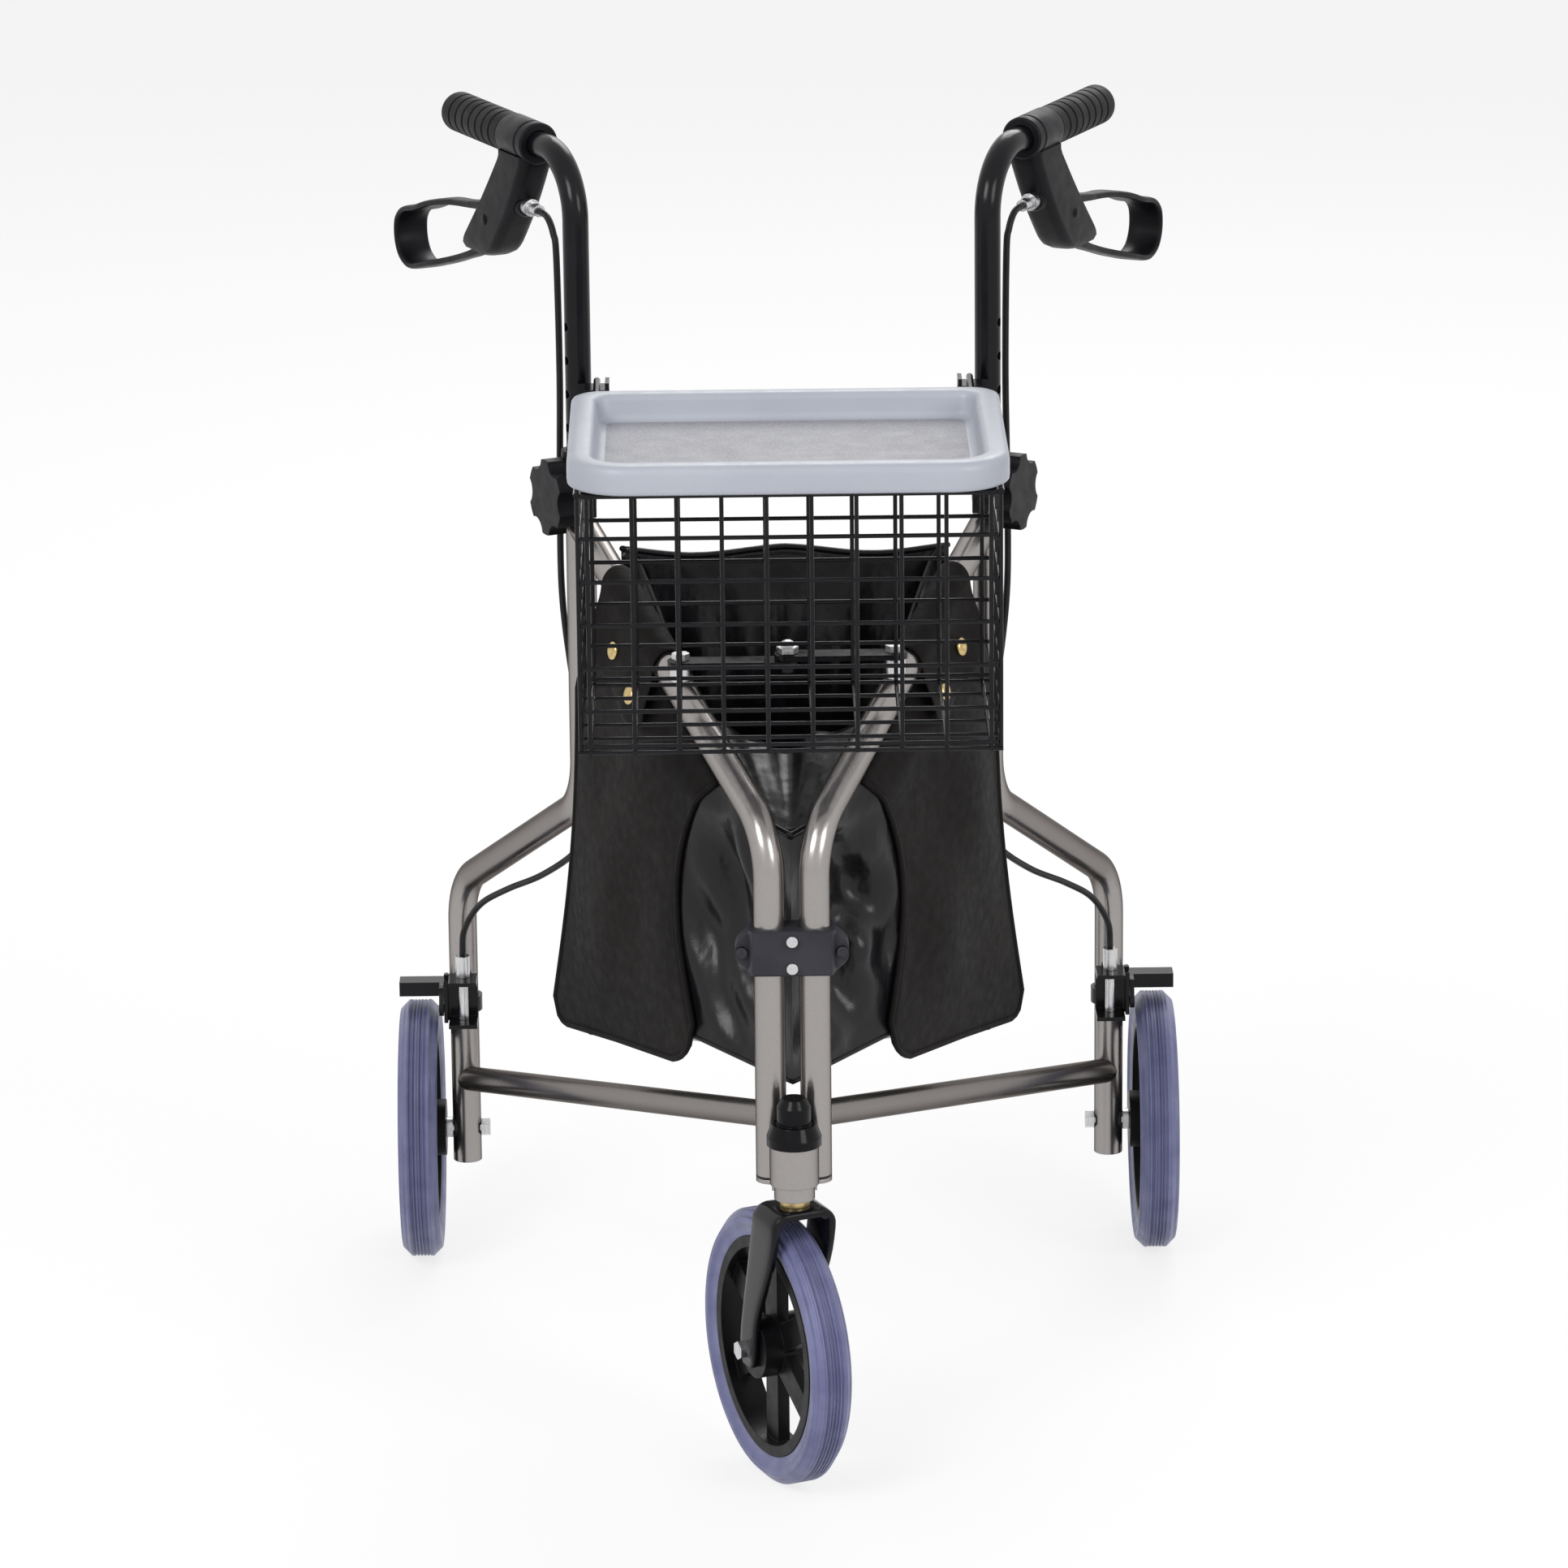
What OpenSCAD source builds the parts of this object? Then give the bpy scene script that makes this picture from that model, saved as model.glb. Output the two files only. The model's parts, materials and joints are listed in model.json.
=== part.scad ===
// Three wheel rollator: folding walking frame with loop brakes, basket, tray and bag.
// Millimetres. +Z is up, the front faces -Y, the origin is on the floor under the middle of the box.
// Side pieces are drawn for the right in the side frame's own plane and mirrored for the left.

/* [Wheels] */
// Diameter of each tyre
wheel_d = 200; // [150:1:240]
// Width of each tyre
tyre_w = 30; // [22:1:40]
// Radial thickness of each tyre
tyre_t = 20; // [14:1:28]
// Depth of the fine grooves round the tread
groove_h = 0.8; // [0.4:0.1:1.5]
// Width of each fine groove
groove_w = 1.6; // [0.8:0.1:2.4]
// Width of the rim's ring
rim_w = 24; // [16:1:32]
// Radial thickness of the rim's ring
rim_t = 8; // [5:0.5:12]
// Diameter of the hub
hub_d = 44; // [34:1:60]
// Number of spokes
spoke_n = 6; // [4:1:8]
// Width of a spoke round the wheel
spoke_w = 20; // [12:1:28]
// Thickness of a spoke along the axle
spoke_t = 9; // [5:0.5:14]
// Diameter of the axle bolts
axle_d = 8; // [6:0.5:10]
// Distance of the rear wheel's middle from its leg's axis
wheel_offset = 35; // [32:0.5:45]
// Reach of the hub towards the leg from the wheel's middle
hub_in = 19; // [16:0.5:20]
// Reach of the rear hub away from the leg
hub_out = 8; // [5:0.5:12]

/* [Frame] */
// Angle of each side frame from straight back, in plan
splay = 25.3; // [15:0.1:35]
// Distance of each front tube's axis from the middle
hinge_x = 16; // [14:0.5:20]
// Outside diameter of the frame tubes
tube_d = 22; // [18:0.5:26]
// Wall of the frame tubes
tube_wall = 1.4; // [1:0.1:2]
// Outside diameter of the lower brace tubes
brace_d = 19; // [14:0.5:22]
// Bend radius of the tubes, to the axis
bend_r = 52; // [35:1:60]
// Height of the front tube's lower end
front_z = 231; // [225:1:240]
// Height where the front tube turns back
turn_z = 481; // [465:1:500]
// Rise of the upper tube from its turn to the post
upper_rise = 157; // [120:1:180]
// Distance of the handle post from the front tube, along the side frame
post_r = 311; // [290:1:330]
// Height of the post's top
post_z = 690; // [680:1:720]
// Height where the post turns back to the leg
knee_z = 427; // [410:1:440]
// Distance of the rear leg from the front tube, along the side frame
leg_r = 548; // [520:1:580]
// Height where the leg turns down
ankle_z = 300; // [285:1:315]
// Height of the leg's lower end
leg_z = 74; // [60:1:80]
// Height of the lower brace at the front tube
brace_front_z = 275; // [265:1:290]
// Height of the lower brace at the leg
brace_rear_z = 140; // [130:1:160]

/* [Head and castor] */
// Diameter of the castor's head tube
head_d = 35; // [30:0.5:38]
// Diameter of the head tube's lower step
head_step_d = 29; // [26:0.5:32]
// Height of the head tube's lower end
head_z = 221; // [218:0.5:226]
// Height of the head tube
head_h = 40; // [30:1:50]
// Height of the lower step
head_step_h = 11; // [6:0.5:14]
// Diameter of the castor's stem
stem_d = 14; // [10:0.5:18]
// Distance of the castor's axle behind its stem
trail = 32; // [20:1:45]
// Turn of the castor in the stored pose
castor_turn = 24; // [0:1:60]
// Height of the head's cap
cap_h = 34; // [20:1:40]
// Thickness of the fork's crown
crown_t = 7; // [5:0.5:10]
// Thickness of each fork arm
arm_t = 5; // [4:0.5:7]
// Half length of the crown along the wheel
crown_half = 24; // [18:1:30]
// Diameter of the fork's axle boss
boss_d = 30; // [22:1:36]

/* [Hinge clamp and brace] */
// Height of the hinge clamp's middle
clamp_z = 398; // [380:1:410]
// Height of the hinge clamp
clamp_h = 33; // [24:1:40]
// Half width of the hinge clamp
clamp_half = 40; // [38:0.5:46]
// Wall of the clamp round each tube
clamp_wall = 4; // [3:0.5:6]
// Distance of the brace's pin from the front tube, along the side frame
pin_r = 141; // [120:1:170]
// Thickness of each brace bar
link_t = 4; // [3:0.5:6]
// Width of each brace bar
link_w = 19; // [14:0.5:24]
// Diameter of the brace's pins
pin_d = 8; // [6:0.5:10]
// Height of the lower brace bar's seat above its tube's axis
seat_h = 18; // [17:0.5:24]

/* [Handles] */
// Outside diameter of the handle tubes
handle_d = 19; // [16:0.5:20]
// Wall of the handle tubes
handle_wall = 1.5; // [1:0.1:2.5]
// Height of the grip's axis
grip_z = 908; // [860:1:940]
// Bend radius of the handle, to the axis
handle_bend_r = 46; // [35:1:60]
// Height of the handle tube's lower end
handle_low_z = 600; // [580:1:620]
// Reach of the grip's end behind the post
grip_reach = 213; // [200:1:280]
// Length of the grip
grip_l = 104; // [80:1:140]
// Diameter of the grip
grip_d = 30; // [26:0.5:36]
// Number of grooves round the grip
grip_ribs = 7; // [3:1:12]
// Depth of the grooves round the grip
rib_h = 1.2; // [0.5:0.1:2]
// Width of the grooves round the grip
rib_w = 3; // [2:0.5:5]
// Height of the knob's axis
knob_z = 660; // [640:1:668]
// Diameter of the knob
knob_d = 56; // [40:1:60]
// Thickness of the knob
knob_t = 14; // [10:1:26]
// Diameter of the knob's bolt
bolt_d = 6; // [5:0.5:8]
// Pitch of the height holes
hole_pitch = 25; // [20:0.5:30]
// Height holes above the bolt
holes_up = 5; // [3:1:6]
// Height holes below the bolt
holes_down = 1; // [0:1:2]

/* [Brakes] */
// Length of the brake's collar along the handle
collar_l = 46; // [30:1:54]
// Wall of the brake's collar
collar_wall = 6; // [4:0.5:9]
// Thickness of each cheek of the brake's body
cheek_t = 4; // [3:0.5:6]
// How far the brake's body leans back from its collar to its lower end
body_lean = 77; // [50:1:84]
// Width between the cheeks
cheek_gap = 18; // [14:0.5:24]
// Width of the lever's loop
loop_w = 27; // [18:1:32]
// Thickness of the lever's band
band_t = 7; // [5:0.5:9]
// Reach of the lever's loop behind its pivot
loop_l = 175; // [140:1:190]
// Depth of the lever's loop under its pivot
loop_h = 63; // [48:1:70]
// Diameter of the lever's pivot
pivot_d = 6; // [5:0.5:8]
// Drop of the lever's pivot under the grip's axis
pivot_drop = 68; // [60:1:76]
// Height of the brake bar's underside over the tyre
bar_gap = 8.5; // [6:0.5:12]
// Thickness of the brake bar
bar_t = 11; // [8:0.5:14]
// Depth of the brake bar from front to back
bar_l = 17; // [12:0.5:22]
// Thickness of the brake bracket's plates
plate_t = 3; // [2:0.5:4]
// Diameter of the brake cables
cable_d = 5; // [4:0.5:6]

/* [Basket and tray] */
// Width of the basket
basket_w = 290; // [250:1:300]
// Depth of the basket from front to back
basket_l = 180; // [140:1:186]
// Height of the basket
basket_h = 183; // [140:1:195]
// Height of the basket's floor
basket_z = 565; // [562:1:575]
// Distance of the basket's front ahead of the front tubes
basket_front = 88; // [70:1:110]
// Diameter of the basket's rim wire
rim_wire_d = 5; // [4:0.5:6]
// Diameter of the basket's other wires
wire_d = 3; // [2.5:0.1:4]
// Upright wires across the front
front_wires = 10; // [6:1:14]
// Level wires on each wall, rim and floor not counted
level_wires = 5; // [3:1:7]
// Upright wires along each side
side_wires = 6; // [4:1:8]
// Width of the tray
tray_w = 302; // [280:1:330]
// Depth of the tray
tray_l = 236; // [200:1:250]
// Height of the tray
tray_h = 21; // [16:1:40]
// Wall of the tray
tray_wall = 2.5; // [2:0.1:4]
// Distance of the tray's front ahead of the basket's front
tray_over = 16; // [14:1:40]
// Radius of the tray's corners
tray_corner = 38; // [24:1:48]

/* [Bag] */
// Wall of the bag
bag_wall = 2; // [1.5:0.1:4]
// Distance of the bag's back behind the front tubes
bag_back = 262; // [230:1:264]
// Half width of the bag low at the back
bag_half = 170; // [140:1:178]
// Height of the bag's floor at the front
bag_front_z = 296; // [285:1:310]
// Height of the bag's floor at the back
bag_back_z = 242; // [236:1:270]
// Height of the flaps that hang outside the upper tubes
flap_drop = 50; // [40:1:80]

/* [Hidden] */
$fn = 48;
// fits, joints and overruns
over = 2;
run_fit = 0.05;
close_fit = 0.15;
clear = 0.3;
weld_gap = 0.1;
joint_gap = 0.01;
joint_lap = 0.5;
band_step = 0.2;
// derived places
wheel_r = wheel_d / 2;
tube_r = tube_d / 2;
tube_in = tube_d - 2 * tube_wall;
upper_slope = atan(upper_rise / post_r);
leg_x = hinge_x + leg_r * sin(splay);
leg_y = leg_r * cos(splay);
post_x = hinge_x + post_r * sin(splay);
post_y = post_r * cos(splay);
head_y = -sqrt(pow(head_d / 2 + tube_r + clear, 2) - hinge_x * hinge_x);
tray_front_y = -basket_front - tray_over;
mid_y = (tray_front_y + leg_y + wheel_r) / 2;
// tube paths in the side frame's plane: along and up
front_path = [[0, front_z], [0, turn_z], [post_r, turn_z + upper_rise]];
rear_path = [[post_r, post_z], [post_r, knee_z], [leg_r, ankle_z], [leg_r, leg_z]];
brace_path = [[0, brace_front_z], [leg_r, brace_rear_z]];
handle_cap = 4;
grip_end_r = post_r + grip_reach;
handle_path = [[post_r, handle_low_z], [post_r, grip_z], [grip_end_r - handle_cap, grip_z]];
// wheels
tyre_in = wheel_r - tyre_t;
groove_shares = [-0.62, -0.31, 0, 0.31, 0.62];
shoulder_share = 0.22;
bead_share = 0.75;
spoke_lap = 3;
// spokes start where they part from each other, inside the hub
spoke_in = spoke_w / 2 / tan(180 / spoke_n) + spoke_lap / 2;
hub_r = max(hub_d / 2, norm([spoke_in, spoke_w / 2]) + clear);
axle_head_d = 14;
axle_head_h = 5;
axle_nut_h = 7;
washer_d = 16;
// fork, stem and head
fork_gap = 2 * (hub_in + clear);
crown_gap = 5;
crown_top = head_z - crown_gap;
washer_h = crown_gap - weld_gap - clear;
stem_nut_d = 20;
stem_nut_h = 8;
stem_top = head_z + head_h + stem_nut_h / 2;
bush_h = 12;
bush_lip = 1.5;
bush_wall = 4;
bush_d = stem_d + 2 * bush_wall;
cap_brim = 2;
cap_nose_share = 0.62;
cap_step_share = 0.45;
cap_brim_share = 0.18;
// foot plate and pivot pins under the front tubes
foot_t = 3;
foot_z = front_z - foot_t - bush_lip - clear;
pivot_pin_d = 12;
pivot_pin_h = 45;
pivot_bush_h = 38;
// clamp
clamp_bolt_d = 5;
clamp_head_d = 8;
clamp_head_h = 3.5;
clamp_split = 0.4;
clamp_deep = tube_r + clamp_wall;
ear_in = hinge_x + tube_r + clamp_wall;
ear_x = (ear_in + clamp_half) / 2;
clamp_bolt_share = 0.3;
// brace
pin_x = hinge_x + pin_r * sin(splay);
pin_y = pin_r * cos(splay);
pin_z = turn_z + pin_r * tan(upper_slope);
link_z = pin_z + seat_h;
pin_head_d = 13;
pin_head_h = 5;
boss_w = 17;
// handles and knobs
collar_d = handle_d + 2 * collar_wall;
grip_start_r = grip_end_r - grip_l;
grip_round = grip_d / 4;
collar_r = grip_start_r - clear - collar_l;
knob_lobes = 6;
lobe_share = 0.2;
neck_d = 22;
neck_h = 3;
knob_nut_d = 12;
knob_nut_h = 7;
sleeve_h = 16;
sleeve_lip_h = 3;
sleeve_wall = 2.2;
sleeve_d = tube_d + 2 * (close_fit + sleeve_wall);
// brake body and lever
cheek_w = cheek_gap + 2 * cheek_t;
lever_z = grip_z - pivot_drop;
cheek_inset = 2;
cheek_front_r = collar_r + cheek_inset;
cheek_back_r = collar_r + collar_l + body_lean;
cheek_low = 28;
cheek_top = grip_z - collar_d / 2;
body_flare = 13;
body_fall = pivot_drop + cheek_low - collar_d / 2;
function lean_at(z) = (cheek_top - z) / body_fall;
function front_at(z) = cheek_front_r + (body_lean - body_flare) * lean_at(z);
pivot_r = collar_r + collar_l / 2 + body_lean * lean_at(lever_z);
root_w = cheek_gap - 2 * clear;
root_d = 24;
// the loop's outline, along its reach and up its height
lever_shares = [
    [0.04, 0.07], [0.5, -0.03], [0.76, -0.23], [0.92, -0.33], [1, -0.63],
    [0.95, -0.94], [0.82, -1], [0.52, -0.77], [0.22, -0.51], [0.04, -0.11]
];
adjust_drop = 50;
adjust_z = grip_z - adjust_drop;
adjust_seat_d = 17;
adjust_seat_out = 8;
adjust_r = front_at(adjust_z) - adjust_seat_out;
adjust_d = 9;
adjust_l = 20;
adjust_head_d = 13;
adjust_head_l = 7;
// brake at the wheel
bracket_under = 8;
bracket_rise = 26;
bracket_low = wheel_d - bracket_under;
bracket_high = wheel_d + bracket_rise;
flange_l = 26;
barrel_out = 9;
barrel_y = -tube_r - barrel_out;
barrel_d = 11;
barrel_h = 17;
spring_d = 8;
core_d = 6;
ear_gap = 1;
ear_out = tube_r + ear_gap;
arm_plate = 3.5;
arm_w = 12;
arm_pivot_out = 7;
arm_pivot_y = -tube_r - arm_pivot_out;
arm_pivot_rise = 3;
arm_pivot_z = wheel_d + arm_pivot_rise;
arm_pin_d = 6;
bar_back = 4;
band_h = 12;
band_wall = 3;
// basket, its arms and the brackets that carry them
basket_top = basket_z + basket_h;
basket_back_y = basket_l - basket_front;
basket_x = basket_w / 2 - rim_wire_d / 2;
basket_y0 = -basket_front + rim_wire_d / 2;
basket_y1 = basket_back_y - rim_wire_d / 2;
side_x = basket_x + wire_d / 2;
bracket_w = 18;
bracket_t = 3;
bracket_gap = 1;
bracket_y = post_y - sleeve_d / 2 - clear - bracket_t;
bracket_z = turn_z + upper_rise + tube_r * (1 / cos(upper_slope) - tan(upper_slope)) + bracket_gap;
ledge_l = 20;
lip_h = 8;
rivet_d = 8;
rivet_z = bracket_z + rivet_d;
spacer_d = 12;
arm_in = 10;
arm_x = basket_w / 2 - arm_in;
arm_end_y = bracket_y - bracket_gap;
// tray
tray_z = basket_top + rim_wire_d / 2 + clear;
tray_rim_w = 17;
basin_corner = 20;
// bag
seam = 2;
bag_gap = 3.3;
bag_in = tube_r + bag_gap;
bag_nose_y = clamp_deep + weld_gap + clamp_head_h + clear + seam / 2;
bag_mid_drop = 9;
bag_mid_z = turn_z - bag_mid_drop;
bag_drop = 8;
flap_gap = 12;
flap_end_gap = 66;
// cable route on the right, in the side frame's plane: along, across and up
cable_pts = [
    [adjust_r - adjust_l - weld_gap - clear, 0, adjust_z],
    [361, 0, 856], [351, 0, 846], [346, 0, 828], [344, 0, 740], [347, 0, 660],
    [352, 2, 580], [352, 8, 520], [346, 15, 465], [344, 19, 425], [352, 20, 395], [372, 18, 368],
    [420, 12, 338], [470, 4, 314], [506, -3, 293], [526, -8, 268], [530, -8.5, 246.4]
];
cable_sides = 8;
cable_steps = 2;

// places
module whole() translate([0, -mid_y, 0]) children();
module hand(s) mirror([s < 0 ? 1 : 0, 0, 0]) children();
module side(s) whole() hand(s) translate([hinge_x, 0, 0]) rotate([0, 0, 90 - splay]) children();
module at_leg(s) whole() hand(s) translate([leg_x, leg_y, 0]) children();
module at_castor() whole() translate([0, head_y, 0]) rotate([0, 0, castor_turn]) children();

// flat shapes stood up in the side frame's plane or across the axle
module stand(n, t) translate([0, n + t, 0]) rotate([90, 0, 0]) linear_extrude(t) children();
module across(x, t) translate([x, 0, 0]) rotate([90, 0, 90]) linear_extrude(t) children();

// a flat band through points, a little wider at each of them
module band(p, w) {
    for (q = p) translate(q) circle(d = w);
    for (i = [0 : len(p) - 2]) let (d = p[i + 1] - p[i], t = w - 2 * band_step)
        translate(p[i]) rotate(atan2(d[1], d[0])) translate([0, -t / 2]) square([norm(d), t]);
}

// a round bar between two points
module rod(a, b, d) {
    v = b - a;
    translate(a) rotate([0, atan2(norm([v[0], v[1]]), v[2]), atan2(v[1], v[0])]) cylinder(d = d, h = norm(v));
}

// a round bar bent once or more in the plane of X and Z, with an overrun at each end;
// each straight run laps into its bends with a core, behind a hairline joint
function unit2(v) = v / norm(v);
function turn(a, b) = let (c = a[0] * b[1] - a[1] * b[0]) atan2(c, a * b);
module bent(p, r, d, end = 0) {
    n = len(p);
    u = [for (i = [0 : n - 2]) unit2(p[i + 1] - p[i])];
    f = [for (i = [0 : n - 1]) i == 0 || i == n - 1 ? 0 : turn(u[i - 1], u[i])];
    cut = [for (i = [0 : n - 1]) i == 0 || i == n - 1 ? -end : r * tan(abs(f[i]) / 2)];
    for (i = [0 : n - 2]) {
        a = p[i] + u[i] * cut[i];
        l = norm(p[i + 1] - p[i]) - cut[i] - cut[i + 1];
        low = i == 0 ? 0 : 1;
        high = i == n - 2 ? 0 : 1;
        translate([a[0], 0, a[1]]) rotate([0, 90 - atan2(u[i][1], u[i][0]), 0]) {
            translate([0, 0, low * joint_gap]) cylinder(d = d, h = l - (low + high) * joint_gap);
            if (n > 2) translate([0, 0, -low * joint_lap])
                cylinder(d = d - 2 * joint_lap, h = l + (low + high) * joint_lap);
        }
    }
    for (i = [1 : 1 : n - 2]) {
        g = f[i] > 0 ? 1 : -1;
        c = p[i] - u[i - 1] * cut[i] + g * r * [-u[i - 1][1], u[i - 1][0]];
        s = atan2(u[i - 1][1], u[i - 1][0]) - g * 90;
        translate([c[0], 0, c[1]]) rotate([90, 0, 0]) rotate([0, 0, g > 0 ? s : s + f[i]])
            rotate_extrude(angle = abs(f[i])) translate([r, 0]) circle(d = d);
    }
}

// wheels, drawn on the axle along X with the wheel's middle at zero
module tyre_form() {
    w = tyre_w / 2;
    s = tyre_w * shoulder_share;
    rotate([0, 90, 0]) difference() {
        rotate_extrude($fn = 96) polygon([
            [tyre_in, -w * bead_share], [wheel_r - tyre_t / 2, -w], [wheel_r - s, -w], [wheel_r, s - w],
            [wheel_r, w - s], [wheel_r - s, w], [wheel_r - tyre_t / 2, w], [tyre_in, w * bead_share]
        ]);
        for (k = groove_shares) translate([0, 0, k * (w - s) - groove_w / 2]) difference() {
            cylinder(r = wheel_r + over, h = groove_w);
            translate([0, 0, -over]) cylinder(r = wheel_r - groove_h, h = groove_w + 2 * over);
        }
    }
}

module rim_form(low, high) {
    ring_r = tyre_in - close_fit;
    rotate([0, 90, 0]) difference() {
        union() {
            difference() {
                translate([0, 0, -rim_w / 2]) cylinder(r = ring_r, h = rim_w);
                translate([0, 0, -rim_w / 2 - over]) cylinder(r = ring_r - rim_t, h = rim_w + 2 * over);
            }
            translate([0, 0, -low]) cylinder(r = hub_r, h = low + high);
            for (i = [0 : spoke_n - 1]) rotate([0, 0, i * 360 / spoke_n])
                translate([spoke_in, -spoke_w / 2, -spoke_t / 2])
                    cube([ring_r - rim_t + spoke_lap - spoke_in, spoke_w, spoke_t]);
        }
        translate([0, 0, -low - over]) cylinder(d = axle_d + 2 * run_fit, h = low + high + 2 * over);
    }
}

// a bolt along X from its nut's face to its head's face
module axle_form(nut_x, head_x) rotate([0, 90, 0]) {
    translate([0, 0, nut_x - axle_nut_h]) cylinder(d = axle_d, h = head_x - nut_x + axle_nut_h);
    translate([0, 0, nut_x - axle_nut_h]) cylinder(d = axle_head_d, h = axle_nut_h, $fn = 6);
    translate([0, 0, head_x]) cylinder(d = axle_head_d, h = axle_head_h, $fn = 6);
}

// head and castor
module head_tube() whole() color("#a39c94") difference() {
    union() {
        translate([0, head_y, head_z + head_step_h]) cylinder(d = head_d, h = head_h - head_step_h);
        translate([0, head_y, head_z]) cylinder(d = head_step_d, h = head_step_h);
        intersection() {
            translate([-hinge_x - tube_r, head_y, foot_z])
                cube([2 * (hinge_x + tube_r), tube_r - head_y, foot_t]);
            union() {
                translate([-hinge_x, 0, foot_z]) cylinder(r = tube_r, h = foot_t);
                translate([hinge_x, 0, foot_z]) cylinder(r = tube_r, h = foot_t);
                translate([-hinge_x, head_y, foot_z]) cube([2 * hinge_x, tube_r - head_y, foot_t]);
            }
        }
        for (s = [-1, 1]) translate([s * hinge_x, 0, foot_z]) cylinder(d = pivot_pin_d, h = pivot_pin_h);
    }
    translate([0, head_y, head_z - over]) cylinder(d = bush_d + 2 * close_fit, h = head_h + 2 * over);
}

module head_bushes() whole() color("#2a2a2c") for (e = [0, 1])
    translate([0, head_y, e == 0 ? head_z + bush_lip : head_z + head_h - bush_h]) difference() {
        cylinder(d = bush_d, h = bush_h);
        translate([0, 0, -over]) cylinder(d = stem_d + 2 * run_fit, h = bush_h + 2 * over);
    }

module head_cap() whole() color("#17171a") translate([0, head_y, head_z + head_h]) difference() {
    low = head_d / 2 + cap_brim;
    intersection() {
        rotate_extrude() polygon([
            [0, 0], [low, 0], [low, cap_h * cap_brim_share],
            [low * (1 - cap_brim_share), cap_h * cap_step_share],
            [low * cap_nose_share, cap_h * cap_step_share],
            [low * cap_nose_share, cap_h * (1 - cap_brim_share)], [low * cap_step_share, cap_h], [0, cap_h]
        ]);
        // a flat that clears the two front tubes behind
        translate([-low, -low, 0]) cube([2 * low, low - head_y - tube_r - clear, cap_h]);
    }
    translate([0, 0, -over]) cylinder(d = stem_nut_d + 2 * clear, h = over + stem_nut_h + 2 * clear);
}

module castor_fork() at_castor() color("#141416") {
    wide = fork_gap / 2 + arm_t;
    difference() {
        union() {
            translate([-wide, -crown_half, crown_top - crown_t]) cube([2 * wide, 2 * crown_half, crown_t]);
            for (x = [-wide, fork_gap / 2]) across(x, arm_t) {
                polygon([
                    [-crown_half, crown_top - crown_t], [-crown_half, crown_top], [crown_half, crown_top],
                    [crown_half, crown_top - crown_t],
                    [trail + boss_d / 2, wheel_r], [trail - boss_d / 2, wheel_r]
                ]);
                translate([trail, wheel_r]) circle(d = boss_d);
            }
            translate([0, 0, crown_top - crown_t]) cylinder(d = stem_d, h = stem_top - crown_top + crown_t);
            translate([0, 0, head_z + head_h + clear]) cylinder(d = stem_nut_d, h = stem_nut_h, $fn = 6);
        }
        translate([-wide - over, trail, wheel_r]) rotate([0, 90, 0])
            cylinder(d = axle_d + 2 * close_fit, h = 2 * (wide + over));
    }
}

module stem_washer() at_castor() color("#c9a24a") translate([0, 0, crown_top + weld_gap]) difference() {
    cylinder(d = bush_d, h = washer_h);
    translate([0, 0, -over]) cylinder(d = stem_d + 2 * close_fit, h = washer_h + 2 * over);
}

module front_axle() at_castor() color("#b9bbc0") translate([0, trail, wheel_r])
    axle_form(-fork_gap / 2 - arm_t - weld_gap, fork_gap / 2 + arm_t + weld_gap);
module front_tyre() at_castor() color("#62658c") translate([0, trail, wheel_r]) tyre_form();
module front_rim() at_castor() color("#1b1b1e") translate([0, trail, wheel_r]) rim_form(hub_in, hub_in);

// hinge clamp that both front tubes turn in
module clamp_half(f) whole() difference() {
    translate([-clamp_half, f < 0 ? -clamp_deep : clamp_split / 2, clamp_z - clamp_h / 2])
        cube([2 * clamp_half, clamp_deep - clamp_split / 2, clamp_h]);
    for (s = [-1, 1]) {
        translate([s * hinge_x, 0, clamp_z - clamp_h / 2 - over])
            cylinder(d = tube_d + 2 * run_fit, h = clamp_h + 2 * over);
        // the ears are thinner than the middle
        translate([s > 0 ? ear_in : -clamp_half - over, f < 0 ? -clamp_deep - over : clamp_deep / 2,
                clamp_z - clamp_h / 2 - over])
            cube([clamp_half + over - ear_in, clamp_deep / 2 + over, clamp_h + 2 * over]);
    }
    clamp_holes(clamp_bolt_d + 2 * close_fit);
}
module clamp_holes(d) {
    for (s = [-1, 1]) {
        translate([s * ear_x, -clamp_deep - over, clamp_z]) rotate([-90, 0, 0])
            cylinder(d = d, h = 2 * (clamp_deep + over));
        translate([0, -clamp_deep - over, clamp_z + s * clamp_h * clamp_bolt_share]) rotate([-90, 0, 0])
            cylinder(d = d, h = 2 * (clamp_deep + over));
    }
}
module hinge_clamp_front() color("#1a1a1d") clamp_half(-1);
module hinge_clamp_back() color("#1a1a1d") clamp_half(1);
module hinge_clamp_bolts() whole() color("#b9bbc0") for (s = [-1, 1]) {
    bolt_y(s * ear_x, clamp_z, clamp_deep / 2);
    bolt_y(0, clamp_z + s * clamp_h * clamp_bolt_share, clamp_deep);
}
module bolt_y(x, z, half) translate([x, 0, z]) rotate([-90, 0, 0]) {
    translate([0, 0, -half - weld_gap]) cylinder(d = clamp_bolt_d, h = 2 * (half + weld_gap));
    translate([0, 0, -half - weld_gap - clamp_head_h]) cylinder(d = clamp_head_d, h = clamp_head_h);
    translate([0, 0, half + weld_gap]) cylinder(d = clamp_head_d, h = clamp_head_h, $fn = 6);
}

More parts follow.
